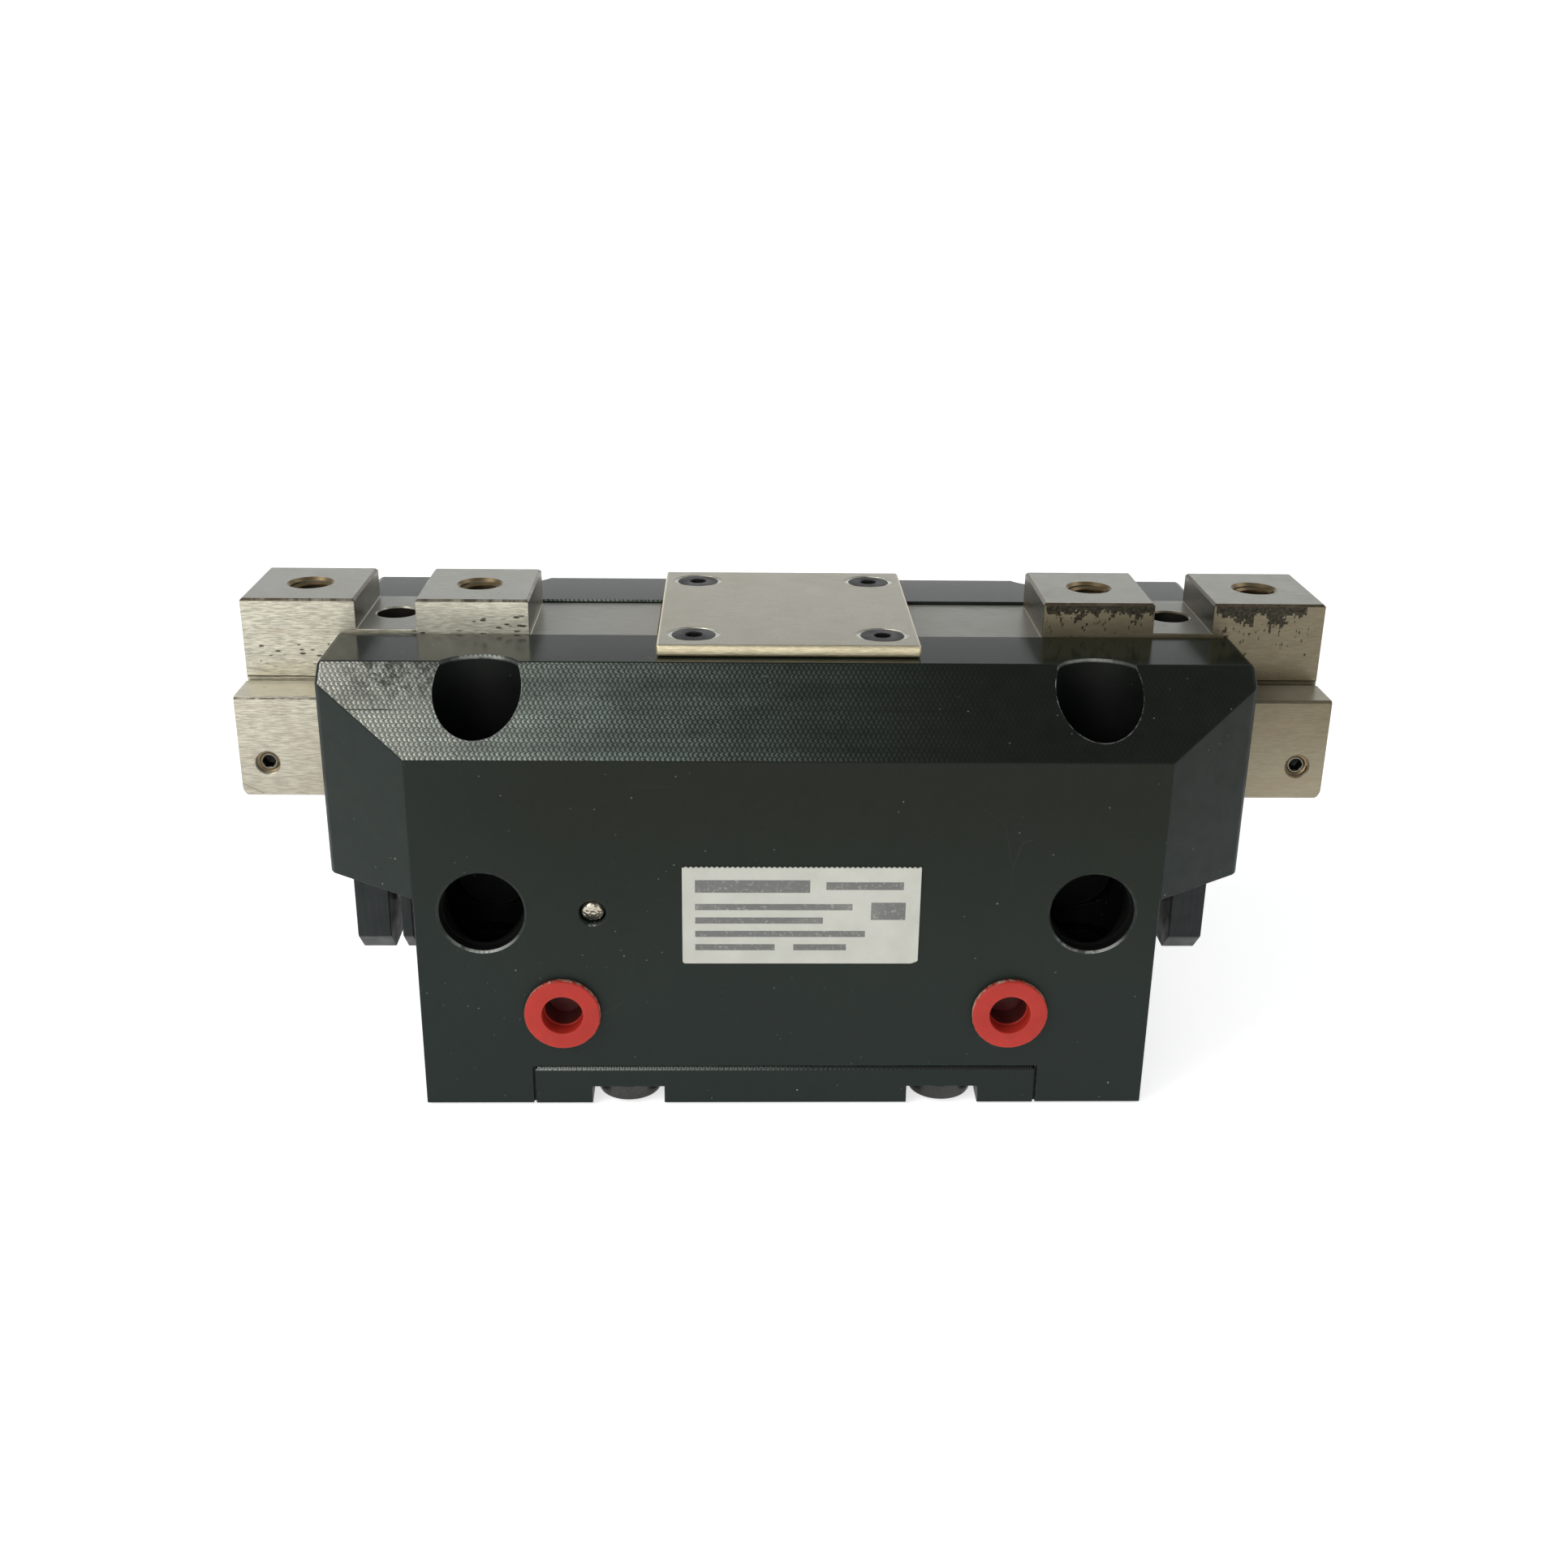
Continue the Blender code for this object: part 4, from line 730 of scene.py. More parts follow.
def hole(name, r, mouth, deep, out, chamfer=0.0, seg=72, tip=False):
    """A round cutter whose mouth is at mouth, going deep mm against out."""
    c = chamfer
    prof = [(0, 1.0), (r + c + 1.0, 1.0), (r, -c)] if c else [(0, 1.0), (r, 1.0)]
    prof += [(r, -deep)]
    prof += [(0, -deep - r * 0.58)] if tip else [(0, -deep)]
    return lathe(name, prof, mouth, out, seg=seg)


def hexagon(name, flats, base, top, axis):
    """A hexagonal prism cutter between two heights along axis from base."""
    r = flats / 2 / math.cos(math.pi / 6)
    return lathe(name, [(0, top), (r, top), (r, 0), (r * 0.55, -r * 0.25), (0, -r * 0.32)], base, axis, seg=6)


def rounded_ring(r0, r1, x0, x1, b=0.25):
    return [
        (r1 - b, x1), (r1 - b * 0.3, x1 - b * 0.3), (r1, x1 - b), (r1, x0 + b), (r1 - b * 0.3, x0 + b * 0.3), (r1 - b, x0),
        (r0 + b, x0), (r0 + b * 0.3, x0 + b * 0.3), (r0, x0 + b), (r0, x1 - b), (r0 + b * 0.3, x1 - b * 0.3), (r0 + b, x1), (r1 - b, x1),
    ]


# ------------------------------------------------------------------ housing
HW, HD, H = 70.0, 45.65, 85.5
WX, WY, WZ = 87.8, 33.46, 44.0
wing = [(HW, -HD), (WX, -WY), (WX, WY), (HW, HD), (-HW, HD), (-WX, WY), (-WX, -WY), (-HW, -HD)]
shell = prism("housing_shell", wing, WZ, H, "XY", BODY)
boolean(shell, [box("lower", (-HW, HW), (-HD, HD), (0, WZ + 3))], "UNION")
k = (H - 71.6) / (HD - 30.1)
tools = []
for s in (-1, 1):
    tri = [(s * (30.1 - 3 / k), H + 3), (s * (HD + 3), 71.6 - 3 * k), (s * (HD + 3), H + 3)]
    tools.append(prism(f"slope{s}", tri if s > 0 else tri[::-1], -WX - 5, WX + 5, "YZ"))
boolean(shell, tools)
bm = bmesh.new()
bm.from_mesh(shell.data)
bmesh.ops.remove_doubles(bm, verts=bm.verts, dist=1e-6)
bmesh.ops.dissolve_limit(bm, angle_limit=math.radians(1), verts=bm.verts, edges=bm.edges)
bm.to_mesh(shell.data)
bm.free()
bm = bmesh.new()
bm.from_mesh(shell.data)
layer = bm.edges.layers.float.get("bevel_weight_edge") or bm.edges.layers.float.new("bevel_weight_edge")
for e in bm.edges:
    if len(e.link_faces) == 2 and e.calc_face_angle() > math.radians(20):
        end = abs(sum(v.co.x for v in e.verts)) > 2 * (WX - 0.01) * MM
        e[layer] = 1.0 if end and max(v.co.z for v in e.verts) > 50 * MM else 0.0
bm.to_mesh(shell.data)
bm.free()
mod = shell.modifiers.new("edge", "BEVEL")
mod.width, mod.segments, mod.limit_method = 1.3 * MM, 4, "WEIGHT"
bake(shell)
bevel(shell, 0.24, 2, 32)
c = 0.35
way = [
    (-22.6, 55.2), (-17.5, 55.2), (-17.5, 45.5), (17.5, 45.5), (17.5, 55.2), (22.6, 55.2), (22.6, 75.9), (12.4, 75.9),
    (12.4, H - c), (12.4 + c + 1, H + 1), (-12.4 - c - 1, H + 1), (-12.4, H - c), (-12.4, 75.9), (-22.6, 75.9),
]
tools = [prism("way", way, -WX - 1, WX + 1, "YZ")]
tools.append(lathe("bore", [(0, HW + 1), (15, HW + 1), (15, -HW - 1), (0, -HW - 1)], (0, 0, 27.5), (1, 0, 0), seg=96))
for s in (-1, 1):
    tools.append(lathe("pocket", [(0, HW + 1.0), (17.6, HW + 1.0), (16, HW - 0.6), (16, 51.5), (0, 51.5)], (0, 0, 27.5), (s, 0, 0), seg=96))
    xs = sorted((s * 51.8, s * (HW + 1)))
    tools.append(box("slot", xs, (-10.75, 10.75), (27.5, 47.5)))
    tools.append(box("wing_slot", sorted((s * (HW - 1), s * (WX + 1))), (-17.5, 17.5), (WZ - 1, 47.5)))
    for f in (-1, 1):
        x, y = s * 57.7, f * 34.4
        bolt = [(0, 1), (9.65, 1), (8.15, -0.5), (8.15, -55.5), (4.5, -55.5), (4.5, 0.4 - H), (5.9, -1 - H), (0, -1 - H)]
        tools.append(lathe("m1", bolt, (x, y, H), (0, 0, 1), seg=72))
        tools.append(lathe("m3", [(0, 1), (9.4, 1), (8.0, -0.4), (8.0, -2.4), (7.6, -2.8), (7.6, -20), (0, -20)], (s * 57.4, f * HD, 41.2), (0, f, 0), seg=80))
        tools.append(hole("c1", 2.15, (s * 18.1, f * 19.6, H), 7.3, (0, 0, 1), 0.3, seg=32))
        tools.append(hole("b1", 3.4, (s * 30.7, f * 39.3, 8.15), 13.8, (0, 0, -1), seg=32))
    tools.append(hole("port", 4.85, (s * 42.9, -HD, 20), 12.1, (0, -1, 0), 0.5, seg=64))
tools.append(hole("ball", 2.52, (-36.7, -HD, 41.2), 8.6, (0, -1, 0), 0.25, seg=48))
tools.append(box("recess", (-48.8, 48.8), (-HD - 1, HD + 1), (-1, 8.15)))
for f in (-1, 1):
    tools.append(box("seam", (-49.2, 49.2), sorted((f * (HD - 0.9), f * (HD + 1.5))), (-1.2, 8.3)))
tools.append(lathe("axle", [(0, 0.6), (5.2, 0.6), (5.2, -3.1), (3.1, -3.1), (3.1, -38.7), (0, -38.7)], (0, 0, 7.8), (0, 0, -1), seg=48))
boolean(shell, tools)
# painted shade: the walls of the side bores get a nearly black matte material
paint(shell, SIDE_BORE_SHADE, lambda c, n: math.hypot(abs(c.x) - 57.4, c.z - 41.2) < 8.03 and 27.0 < abs(c.y) < HD - 0.45)
keep(shell, "housing", "housing", slot="anodised_body")

# ------------------------------------------------------------------ cover plate and its screws
plate = box("cover_plate", (-25, 25), (-27, 27), (85.6, 87.9), COVER)
bevel(plate, 0.55, 3)
tools = []
for s in (-1, 1):
    for f in (-1, 1):
        tools.append(lathe("sink", [(0, 0.6), (4.9, 0.6), (4.46, 0.02), (2.25, -2.2), (2.25, -4), (0, -4)], (s * 18.1, f * 19.6, 87.9), (0, 0, 1), seg=64))
        # the countersink breaks out into an eye shape with ragged rims
        eye = []
        for i in range(96):
            a = 2 * math.pi * i / 96
            u, v = math.cos(a), abs(math.sin(a))
            r = -0.87 * v + math.sqrt((0.87 * v) ** 2 + 5.37 ** 2 - 0.87 ** 2)
            r += 0.10 * noise.noise((u * 3 + s, math.sin(a) * 3 + f, 0.5)) + 0.05 * noise.noise((u * 11, math.sin(a) * 11 + s * f, 3))
            eye.append((s * 18.1 + r * u, f * 19.6 + r * math.sin(a)))
        tools.append(prism("eye", eye, 87.9 - 0.18, 88.6, "XY"))
boolean(plate, tools)
paint(plate, FLARE, lambda c, n: min((c.xy - Vector((i * 18.1, j * 19.6))).length for i in (-1, 1) for j in (-1, 1)) < 5.75 and 86.5 < c.z < 87.885)
keep(plate, "housing", "top_cover_plate", slot="plated_cover")
for s, side in ((-1, "left"), (1, "right")):
    for f, face in ((-1, "front"), (1, "back")):
        x, y = s * 18.1, f * 19.6
        o = lathe(
            f"cover_screw_{side}_{face}_fine",
            [(0, 0), (4.05, 0), (4.2, -0.06), (4.24, -0.2), (4.12, -0.38), (2.1, -2.3), (1.97, -2.5), (1.97, -8.6), (1.6, -9.0), (0, -9.0)],
            (x, y, 87.8), (0, 0, 1), SCREW, seg=64,
        )
        boolean(o, [hexagon("hx", 2.9, (x, y, 85.9), 3, (0, 0, 1)), lathe("lead", [(0, 0.5), (2.3, 0.5), (1.55, -0.2), (0, -0.2)], (x, y, 87.8), (0, 0, 1), seg=48)])
        # painted shade: the inside of the hex socket gets a very dark material
        paint(o, SOCKET_SHADE, lambda c, n: math.hypot(c.x - x, c.y - y) < 1.78 and 84.5 < c.z < 87.785)
        keep(o, "housing", f"cover_screw_{side}_{face}", slot="black_screws")

# ------------------------------------------------------------------ bottom plate and its screws
plate = box("base_plate", (-48.7, 48.7), (-HD, HD), (0, 7.8), BODY)
round_edges(plate, 0.5, 1, lambda p: abs(p.y) > HD - 0.1 and p.z > 7.7)
bevel(plate, 0.14, 2, 50)
tools = []
for s in (-1, 1):
    for f in (-1, 1):
        x, y = s * 30.7, f * 39.3
        tools.append(lathe("clear", [(0, 9), (3.4, 9), (3.4, 3.7), (7.0, 3.7), (7.0, 0.3), (7.9, -0.6), (0, -0.6)], (x, y, 0), (0, 0, 1), seg=72))
        tools.append(box("notch", (x - 7, x + 7), sorted((y, f * (HD + 1))), (-1, 3.7)))
boolean(plate, tools)
keep(plate, "housing", "bottom_plate", slot="anodised_body")
for s, side in ((-1, "left"), (1, "right")):
    for f, face in ((-1, "front"), (1, "back")):
        x, y = s * 30.7, f * 39.3
        o = lathe(
            f"base_screw_{side}_{face}_fine",
            [(0, 19.8), (2.5, 19.8), (2.95, 19.3), (2.95, 3.5), (3.1, 3.3), (6.1, 3.3), (6.2, 3.2), (6.2, 0.55), (6.0, 0.2), (5.6, 0), (0, 0)],
            (x, y, 0.3), (0, 0, 1), GREY, seg=72,
        )
        boolean(o, [hexagon("hx", 4.0, (x, y, 2.5), 4, (0, 0, -1))])
        keep(o, "housing", f"base_screw_{side}_{face}", slot="black_screws")


# ------------------------------------------------------------------ thread of a tapped hole
def thread(name, place, r, pitch, depth, body, material, out=(0, 0, 1)):
    """Helical ridges lining a tapped hole, from just under its chamfer down."""
    bm = bmesh.new()
    seg, h = 48, 0.54 * pitch
    turns = int((depth - 1.0) / pitch)
    prof = [(r + 0.05, 0.0), (r + 0.05, 0.06), (r - h, 0.44), (r - h, 0.56), (r + 0.05, 0.94)]
    rows = []
    for k in range(turns * seg + 1):
        a = 2 * math.pi * k / seg
        z = -0.35 - pitch * k / seg
        rows.append([bm.verts.new((q * MM * math.cos(a), q * MM * math.sin(a), (z - t * pitch) * MM)) for q, t in prof])
    n = len(prof)
    for a, b in zip(rows, rows[1:]):
        for i in range(n):
            bm.faces.new((a[i], a[(i + 1) % n], b[(i + 1) % n], b[i]))
    bm.faces.new(rows[0][::-1])
    bm.faces.new(rows[-1])
    turn = Vector((0, 0, 1)).rotation_difference(Vector(out)).to_matrix().to_4x4()
    bmesh.ops.transform(bm, matrix=Matrix.Translation(Vector(place) * MM) @ turn, verts=bm.verts)
    o = from_bm(name, bm, material)
    smooth(o, 40, False)
    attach(o, body)
    return o


# ------------------------------------------------------------------ gear teeth
def involute(teeth=18, module=1.0, backlash=0.14):
    pr = module * teeth / 2
    br = pr * math.cos(math.radians(20))
    tr, rr = pr + 0.92 * module, pr - 1.25 * module

    def inv(r):
        a = math.acos(min(1.0, br / r))
        return math.tan(a) - a

    half = (math.pi * module / 2 - backlash) / (2 * pr)
    at = lambda r: half + inv(pr) - inv(max(r, br))
    radii = [rr, rr + 0.25, br] + [br + (tr - br) * i / 6 for i in range(1, 7)]
    pts = []
    for t in range(teeth):
        mid = -math.pi / 2 + t * 2 * math.pi / teeth
        ang = [at(r) + (0.02 if i == 0 else 0) for i, r in enumerate(radii)]
        side = [(r, -a) for r, a in zip(radii, ang)] + [(r, a) for r, a in reversed(list(zip(radii, ang)))]
        pts += [(r * math.cos(mid + a), r * math.sin(mid + a)) for r, a in side]
    return pts


gear = prism("pinion_fine", involute(), 46.4, 54.4, "XY", GEAR)
boolean(gear, [lathe("gh", [(0, 10), (4.75, 10), (4.25, 8.35), (4.25, -0.35), (4.75, -2), (0, -2)], (0, 0, 46.4), (0, 0, 1), seg=64)])
keep(gear, "pinion", "pinion_gear", slot="bright_steel")
keep(lathe("pinion_bush_fine", rounded_ring(3.08, 4.18, 0.1, 7.9, 0.15), (0, 0, 46.4), (0, 0, 1), BRONZE, 64), "pinion", "pinion_bush", slot="bush_bronze")
keep(lathe("pinion_axle_fine", [(0, 46.2), (2.6, 46.2), (3, 45.8), (3, 0.4), (2.6, 0), (0, 0)], (0, 0, 8.4), (0, 0, 1), BRIGHT, 64), "housing", "pinion_axle", slot="bright_steel")
keep(lathe("axle_seal_fine", rounded_ring(3.12, 5.05, 8.5, 10.4, 0.5), (0, 0, 0), (0, 0, 1), RUBBER, 48), "housing", "axle_seal", slot="seal_rubber")

# ------------------------------------------------------------------ jaw units
for s, side in ((-1, "left"), (1, "right")):
    body = f"{side}_jaw"
    steel = JAW_L if s < 0 else JAW_R

    def X(a, b):
        return sorted((s * a, s * b))

    half = [
        (22.0, 55.3), (22.5, 55.8), (22.5, 75.3), (22.0, 75.8), (12.7, 75.8), (12.7, 75.2), (11.8, 75.2), (11.8, 76.3),
        (12.0, 76.6), (12.0, 92.2),
    ]
    sec = half + [(-y, z) for y, z in reversed(half)]
    jaw = prism(f"jaw_{side}_fine", sec, *X(25.4, 106.1), "YZ", steel)
    boolean(jaw, [
        box("g1", X(72.3, 83.9), (-20, 20), (86.2, 95)),
        box("g2", X(24, 50.3), (-20, 20), (85.0, 95)),
    ])
    round_edges(jaw, 1.1, 4, lambda p: abs(p.x) > 106.0 and p.z < 55.9)
    round_edges(jaw, 0.45, 1, lambda p: p.z > 92.1)
    bevel(jaw, 0.26, 3, 50)
    tools = [hole("t", 4.0, (s * x, 0, 92.2), 22.0, (0, 0, 1), 0.6, tip=True) for x in (61.3, 95.0)]
    tools.append(hole("d", 4.0, (s * 78.2, 0, 86.2), 22.2, (0, 0, 1), 0.3))
    tools.append(hole("d2", 2.3, (s * 78.2, 0, 55.3), 9.7, (0, 0, -1), seg=32))
    tools.append(hole("g", 2.25, (s * 100.7, -22.5, 62.2), 14.5, (0, -1, 0), 0.22, seg=48))
    for x in (34.0, 60.0):
        tools.append(hole("r", 1.65, (s * x, s * 13.75, 55.3), 7.7, (0, 0, -1), seg=24))
    boolean(jaw, tools)
    # painted shade: the inside of the driver screw's counterbore gets a dark material
    paint(jaw, JAW_BORE_SHADE, lambda c, n: math.hypot(c.x - s * 78.2, c.y) < 4.05 and 56.0 < c.z < 85.88)
    paint(jaw, BRASSY, lambda c, n: min(math.hypot(c.x - s * x, c.y) for x in (61.3, 95.0)) < 4.65 and 91.6 < c.z < 92.19 and n.z < 0.9)
    keep(jaw, body, f"base_jaw_{side}", slot="ground_steel")
    for i, x in enumerate((61.3, 95.0)):
        thread(f"finger_thread_{side}_{i + 1}", (s * x, 0, 92.2), 4.0, 1.25, 20.0, body, BRASSY)
    thread(f"set_screw_thread_{side}", (s * 100.7, -22.5, 62.2), 2.25, 0.8, 2.2, body, BRASSY, (0, -1, 0))

    o = lathe(
        f"set_screw_{side}_fine", [(0, 9.6), (1.50, 9.6), (1.58, 9.55), (2.05, 9.1), (2.05, 0.7), (1.2, 0), (0, 0)],
        (s * 100.7, -12.0, 62.2), (0, -1, 0), NICKEL, 48,
    )
    boolean(o, [hexagon("hx", 2.35, (s * 100.7, -19.0, 62.2), 4, (0, -1, 0)), lathe("lead", [(0, 0.4), (1.75, 0.4), (1.2, -0.2), (0, -0.2)], (s * 100.7, -21.6, 62.2), (0, -1, 0), seg=48)])
    # painted shade: the inside of the hex socket gets the black steel
    paint(o, SCREW, lambda c, n: math.hypot(c.x - s * 100.7, c.z - 62.2) < 1.42 and c.y > -21.45)
    keep(o, body, f"set_screw_{side}", slot="black_screws")

    ds = [(10.3, 55.1), (10.3, 18.5), (5.7, 13.9)]
    drv = prism(f"driver_{side}_fine", ds + [(-y, z) for y, z in reversed(ds)], *X(68.5, 89.2), "YZ", BLOCK)
    boolean(drv, [
        box("r1", X(60, 77.6), (-12, 12), (10, 46)), box("r2", X(79.8, 82.2), (-12, 12), (10, 46)),
    ])
    bevel(drv, 0.3, 2)
    boolean(drv, [
        box("n1", X(76.6, 80.3), (-4.2, 4.2), (10, 27.5)),
        lathe("n2", [(0, 4), (4.2, 4), (4.2, 0), (0, 0)], (s * 76.6, 0, 27.5), (s, 0, 0), seg=48),
        hole("n3", 2.15, (s * 78.2, 0, 55.1), 8.1, (0, 0, 1), 0.3, 32),
    ])
    keep(drv, body, f"driver_{side}", slot="dark_block")

    o = lathe(
        f"driver_screw_{side}_fine",
        [(0, 4), (3.1, 4), (3.4, 3.8), (3.5, 3.5), (3.5, 0.1), (3.4, 0), (2, 0), (2, -15.8), (1.6, -16.2), (0, -16.2)],
        (s * 78.2, 0, 64.2), (0, 0, 1), SCREW, 48,
    )
    boolean(o, [hexagon("hx", 3.0, (s * 78.2, 0, 66.2), 4, (0, 0, 1))])
    keep(o, body, f"driver_screw_{side}", slot="black_screws")

    ax, at = (s, 0, 0), (0, 0, 27.5)
    keep(lathe(
        f"piston_rod_{side}_fine",
        [(0, 81.8), (5.1, 81.8), (5.4, 81.65), (5.5, 81.4), (5.5, 80.3), (5.35, 80.1), (4, 80.1), (4, 77.3), (5.6, 77.3), (6, 76.9),
         (6, 39.8), (4, 39.8), (4, 29.1), (3.6, 28.7), (0, 28.7)], at, ax, BRIGHT, 72), body, f"piston_rod_{side}", slot="bright_steel")
    R = 14.8
    keep(lathe(
        f"piston_{side}_fine",
        [(R - 0.4, 39.6), (R, 39.2), (R, 38.2), (12.3, 38.2), (12.3, 35.2), (R, 35.2), (R, 33.4), (12, 33.4), (12, 30.4), (R, 30.4),
         (R, 29.0), (R - 0.4, 28.6), (4.5, 28.6), (4.2, 28.9), (4.2, 39.3), (4.5, 39.6), (R - 0.4, 39.6)], at, ax, TURNED, 96),
        body, f"piston_{side}", slot="turned_aluminium")
    keep(lathe(f"magnet_ring_{side}_fine", rounded_ring(12.4, 14.6, 35.4, 38.0, 0.2), at, ax, MAGNET, 72), body, f"magnet_ring_{side}", slot="magnet")
    keep(lathe(f"piston_seal_{side}_fine", rounded_ring(12.1, 14.85, 30.6, 33.2, 0.7), at, ax, RUBBER, 72), body, f"piston_seal_{side}", slot="seal_rubber")

    p = math.pi
    py, ty, ry = -9.0, -8.08, -10.25
    hw = (p / 2 - 0.14) / 2
    tn = math.tan(math.radians(20))
    tip, root = hw - (ty - py) * tn, hw + (py - ry) * tn
    pts = [(-21 * p, -16.9), (2 * p, -16.9), (2 * p, ry)]
    for t in range(1, -22, -1):
        q = (t + 0.5) * p
        pts += [(q + root, ry), (q + tip + 0.06, ty - 0.12), (q + tip - 0.08, ty), (q - tip + 0.08, ty), (q - tip - 0.06, ty - 0.12), (q - root, ry)]
    pts.append((-21 * p, ry))
    if s > 0:
        pts = [(-a, -b) for a, b in pts]
    rack = prism(f"rack_{side}_fine", pts, 46.3, 55.1, "XY", GEAR)
    tools = []
    for i, x in enumerate((34.0, 60.0)):
        tools.append(lathe("rs", [(0, 10), (1.7, 10), (1.7, 3.5), (2.85, 3.5), (2.85, 0.2), (3.1, -0.6), (0, -0.6)], (s * x, s * 13.75, 46.3), (0, 0, 1), seg=40))
    boolean(rack, tools)
    keep(rack, body, f"rack_{side}", slot="bright_steel")
    for i, x in enumerate((34.0, 60.0)):
        o = lathe(
            f"rack_screw_{side}_{i + 1}_fine",
            [(0, 15.2), (1.2, 15.2), (1.45, 14.9), (1.45, 2.9), (2.55, 2.9), (2.65, 2.8), (2.65, 0.3), (2.4, 0), (0, 0)],
            (s * x, s * 13.75, 46.6), (0, 0, 1), SCREW, 40,
        )
        boolean(o, [hexagon("hx", 2.2, (s * x, s * 13.75, 48.0), 3, (0, 0, -1))])
        keep(o, body, f"rack_screw_{side}_{i + 1}", slot="black_screws")

    Hh = 14.88
    keep(lathe(
        f"cylinder_head_{side}_fine",
        [(Hh - 0.3, 49.8), (Hh, 49.5), (Hh, 46.2), (12.7, 46.2), (12.7, 43.2), (Hh, 43.2), (Hh, 40.3), (Hh - 0.3, 40), (6.4, 40),
         (6.1, 40.3), (6.1, 46.4), (8.4, 46.4), (8.4, 49.5), (8.7, 49.8), (Hh - 0.3, 49.8)], at, ax, TURNED, 96), "housing", f"cylinder_head_{side}", slot="turned_aluminium")
    keep(lathe(f"head_o_ring_{side}_fine", rounded_ring(12.8, 14.85, 43.5, 45.9, 0.9), at, ax, RUBBER, 72), "housing", f"head_o_ring_{side}", slot="seal_rubber")
    keep(lathe(f"rod_seal_{side}_fine", rounded_ring(6.05, 8.3, 46.6, 49.6, 0.4), at, ax, RUBBER, 72), "housing", f"rod_seal_{side}", slot="seal_rubber")
    clip = lathe(f"circlip_{side}_fine", rounded_ring(12.4, 14.95, 50.1, 51.1, 0.12), at, ax, BRIGHT, 96)
    boolean(clip, [box("cg", X(49, 52), (-3.5, 3.5), (8, 22))])
    keep(clip, "housing", f"circlip_{side}", slot="bright_steel")

    o = lathe(
        f"port_plug_{side}_fine",
        [(0, -6.6), (3.45, -6.6), (3.60, -6.4), (3.62, -2.1), (3.66, -1.9), (3.76, -1.78), (3.86, -1.7), (3.9, -1.55), (3.9, 1.15), (4.0, 1.38), (4.2, 1.5),
         (6.7, 1.5), (7.05, 1.38), (7.25, 1.1), (7.25, 0.3), (7.1, 0.05), (4.75, 0.05), (4.65, -0.05), (4.65, -7.9), (4.3, -8.2), (0, -8.2)],
        (s * 42.9, -HD, 20.2), (0, -1, 0), RED, 144,
    )
    boolean(o, [box("flat", (s * 42.9 - 9, s * 42.9 + 9), (-HD - 3, -HD - 0.02), (10, 13.05))])
    # ragged moulding flash around the rim
    for v in o.data.vertices:
        d = Vector((v.co.x / MM - s * 42.9, 0, v.co.z / MM - 20.2))
        if d.length > 7.0 and v.co.z > 13.3 * MM:
            a = math.atan2(d.z, d.x)
            push = 0.05 * noise.noise((math.cos(a) * 6, math.sin(a) * 6, s)) + 0.09 * max(0.0, noise.noise((math.cos(a) * 22, math.sin(a) * 22, 4 + s)) - 0.15) * (1.6 if d.x < 0 else 0.7)
            v.co += d.normalized() * push * MM
    # painted shade: the deep part of the plug's bore gets a dark red material
    paint(o, RED_BORE_SHADE, lambda c, n: math.hypot(c.x - s * 42.9, c.z - 20.2) < 3.64 and -HD + 1.95 < c.y < -HD + 6.7)
    keep(o, "housing", f"port_plug_{side}", slot="red_plug")

bm = bmesh.new()
bmesh.ops.create_icosphere(bm, subdivisions=5, radius=2.34 * MM)
for v in bm.verts:
    v.co *= 1 + 0.05 * noise.fractal(v.co * 900, 0.8, 2.0, 4)
    v.co.y = max(v.co.y, -1.40 * MM - 0.42 * v.co.z - 0.00014 * noise.noise(v.co * 1900))
bmesh.ops.translate(bm, vec=Vector((-36.7, -HD + 2.10, 41.35)) * MM, verts=bm.verts)
keep(from_bm("ball_plug_fine", bm, PEENED), "housing", "ball_plug", slot="bright_steel")

# label: rounded film with a finely serrated tear edge along its top
x0, x1, z0, z1 = -19.9, 24.7, 30.8, 50.9
pts = [(x0 + 0.5, z0), (x1 - 1.4, z0), (x1 - 1.0, z0 + 0.1), (x1 - 0.15, z0 + 0.45), (x1, z0 + 0.65)]
pts += [(x1, z1 - 0.15)]
n = 92
for i in range(n):
    xa = x1 - (x1 - x0) * (i + 0.5) / n
    pts.append((xa, z1 - (0.0 if i % 2 == 0 else 0.28)))
pts += [(x0, z1 - 0.15), (x0, z0 + 0.5), (x0 + 0.15, z0 + 0.15)]
film = prism("label_film", pts, -HD - 0.24, -HD - 0.03, "XZ", FILM)
keep(film, "housing", "label", slot="label_film")

# ------------------------------------------------------------------ studio
def studio_material():
    m = Mat("paper_backdrop", 0.9, 0.0, Specular_IOR_Level=0.1)
    m.b.inputs["Emission Color"].default_value = (1, 1, 1, 1)
    m.b.inputs["Emission Strength"].default_value = 0.67
    return m.done(m.ramp(m.noise(6, 4, 0.6), (0.3, (0.90, 0.90, 0.90)), (0.7, (0.93, 0.93, 0.93))))


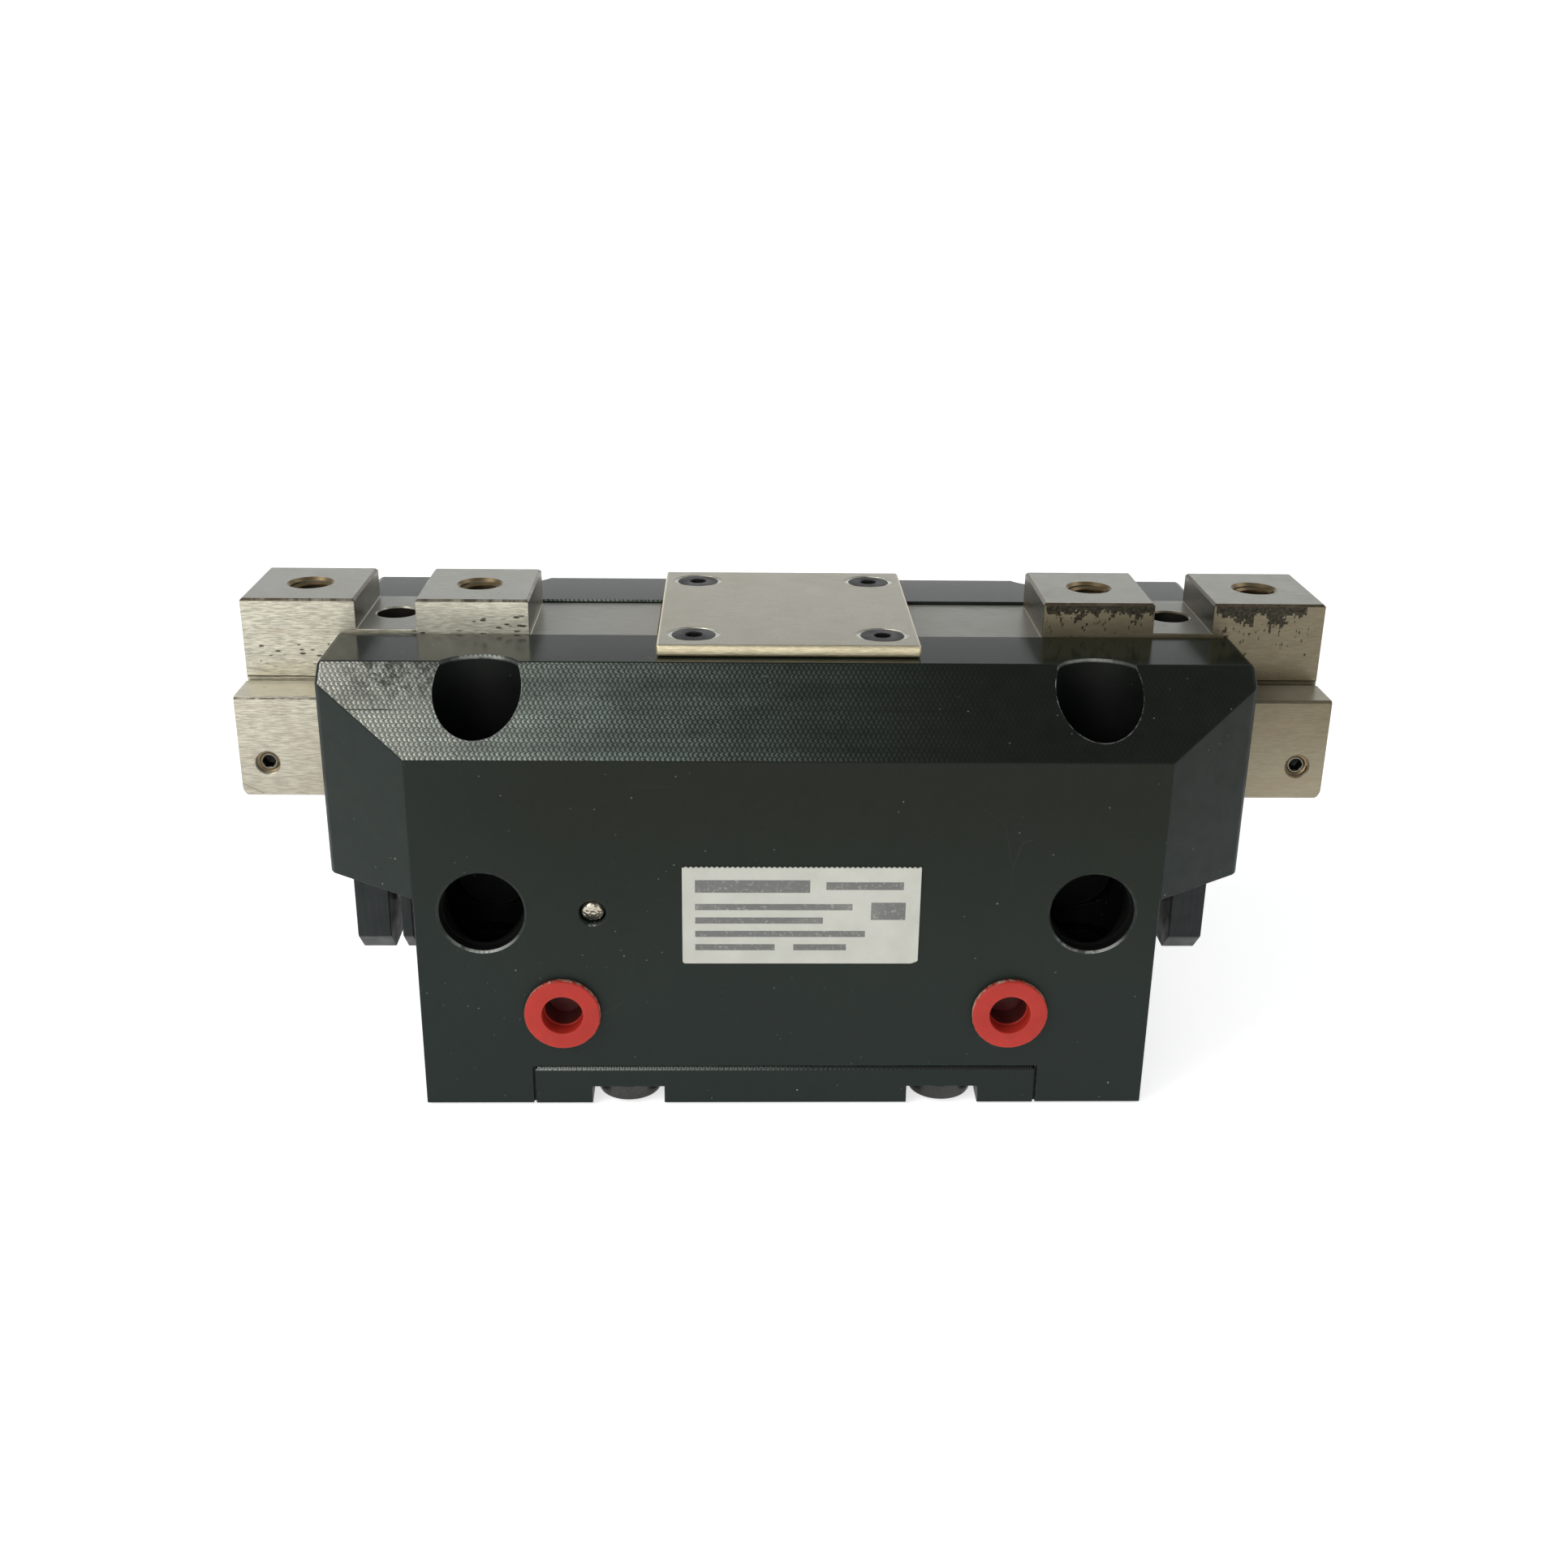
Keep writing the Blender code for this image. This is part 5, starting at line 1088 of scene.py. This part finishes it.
bm = bmesh.new()
prof = [(-1.6, 0)] + [(1.3 + 0.3 * math.sin(a), 0.3 - 0.3 * math.cos(a)) for a in [i * math.pi / 2 / 16 for i in range(17)]] + [(1.6, 0.5)]
cols = [[bm.verts.new((x, y, z - 0.0004)) for y, z in prof] for x in (-2.6, 2.6)]
for a, b, c2, d in zip(cols[0], cols[0][1:], cols[1][1:], cols[1]):
    bm.faces.new((a, d, c2, b))
floor = from_bm("studio_floor", bm, studio_material())
for p in floor.data.polygons:
    p.use_smooth = True

# a soft sky that is dim overhead and brighter towards the horizon
world = bpy.data.worlds.new("studio")
scene.world = world
world.use_nodes = True
wt = world.node_tree
bg = wt.nodes["Background"]
wc = wt.nodes.new("ShaderNodeTexCoord")
sep = wt.nodes.new("ShaderNodeSeparateXYZ")
wt.links.new(wc.outputs["Generated"], sep.inputs[0])
ramp = wt.nodes.new("ShaderNodeValToRGB")
ramp.color_ramp.elements[0].position, ramp.color_ramp.elements[0].color = 0.0, (0.62, 0.64, 0.65, 1)
ramp.color_ramp.elements[1].position, ramp.color_ramp.elements[1].color = 0.75, (0.16, 0.165, 0.17, 1)
wt.links.new(sep.outputs["Z"], ramp.inputs[0])
wt.links.new(ramp.outputs[0], bg.inputs[0])
bg.inputs[1].default_value = 1.0


def area(name, size, place, target, power, colour=(1, 1, 1)):
    d = bpy.data.lights.new(name, "AREA")
    d.shape = "RECTANGLE"
    d.size, d.size_y = size
    d.energy = power
    d.color = colour
    o = bpy.data.objects.new(name, d)
    scene.collection.objects.link(o)
    o.location = place
    o.rotation_mode = "QUATERNION"
    o.rotation_quaternion = (Vector(place) - Vector(target)).to_track_quat("Z", "Y")


area("key", (0.8, 0.8), (-0.85, -0.45, 0.95), (0, 0, 0.05), 6.5, (1.0, 0.99, 0.96))
area("fill", (0.9, 0.6), (0.9, 0.15, 1.1), (0, 0, 0.05), 2.0)
area("front", (1.2, 0.7), (-0.60, -1.10, 0.55), (0, 0, 0.05), 5.0, (1.0, 0.995, 0.97))
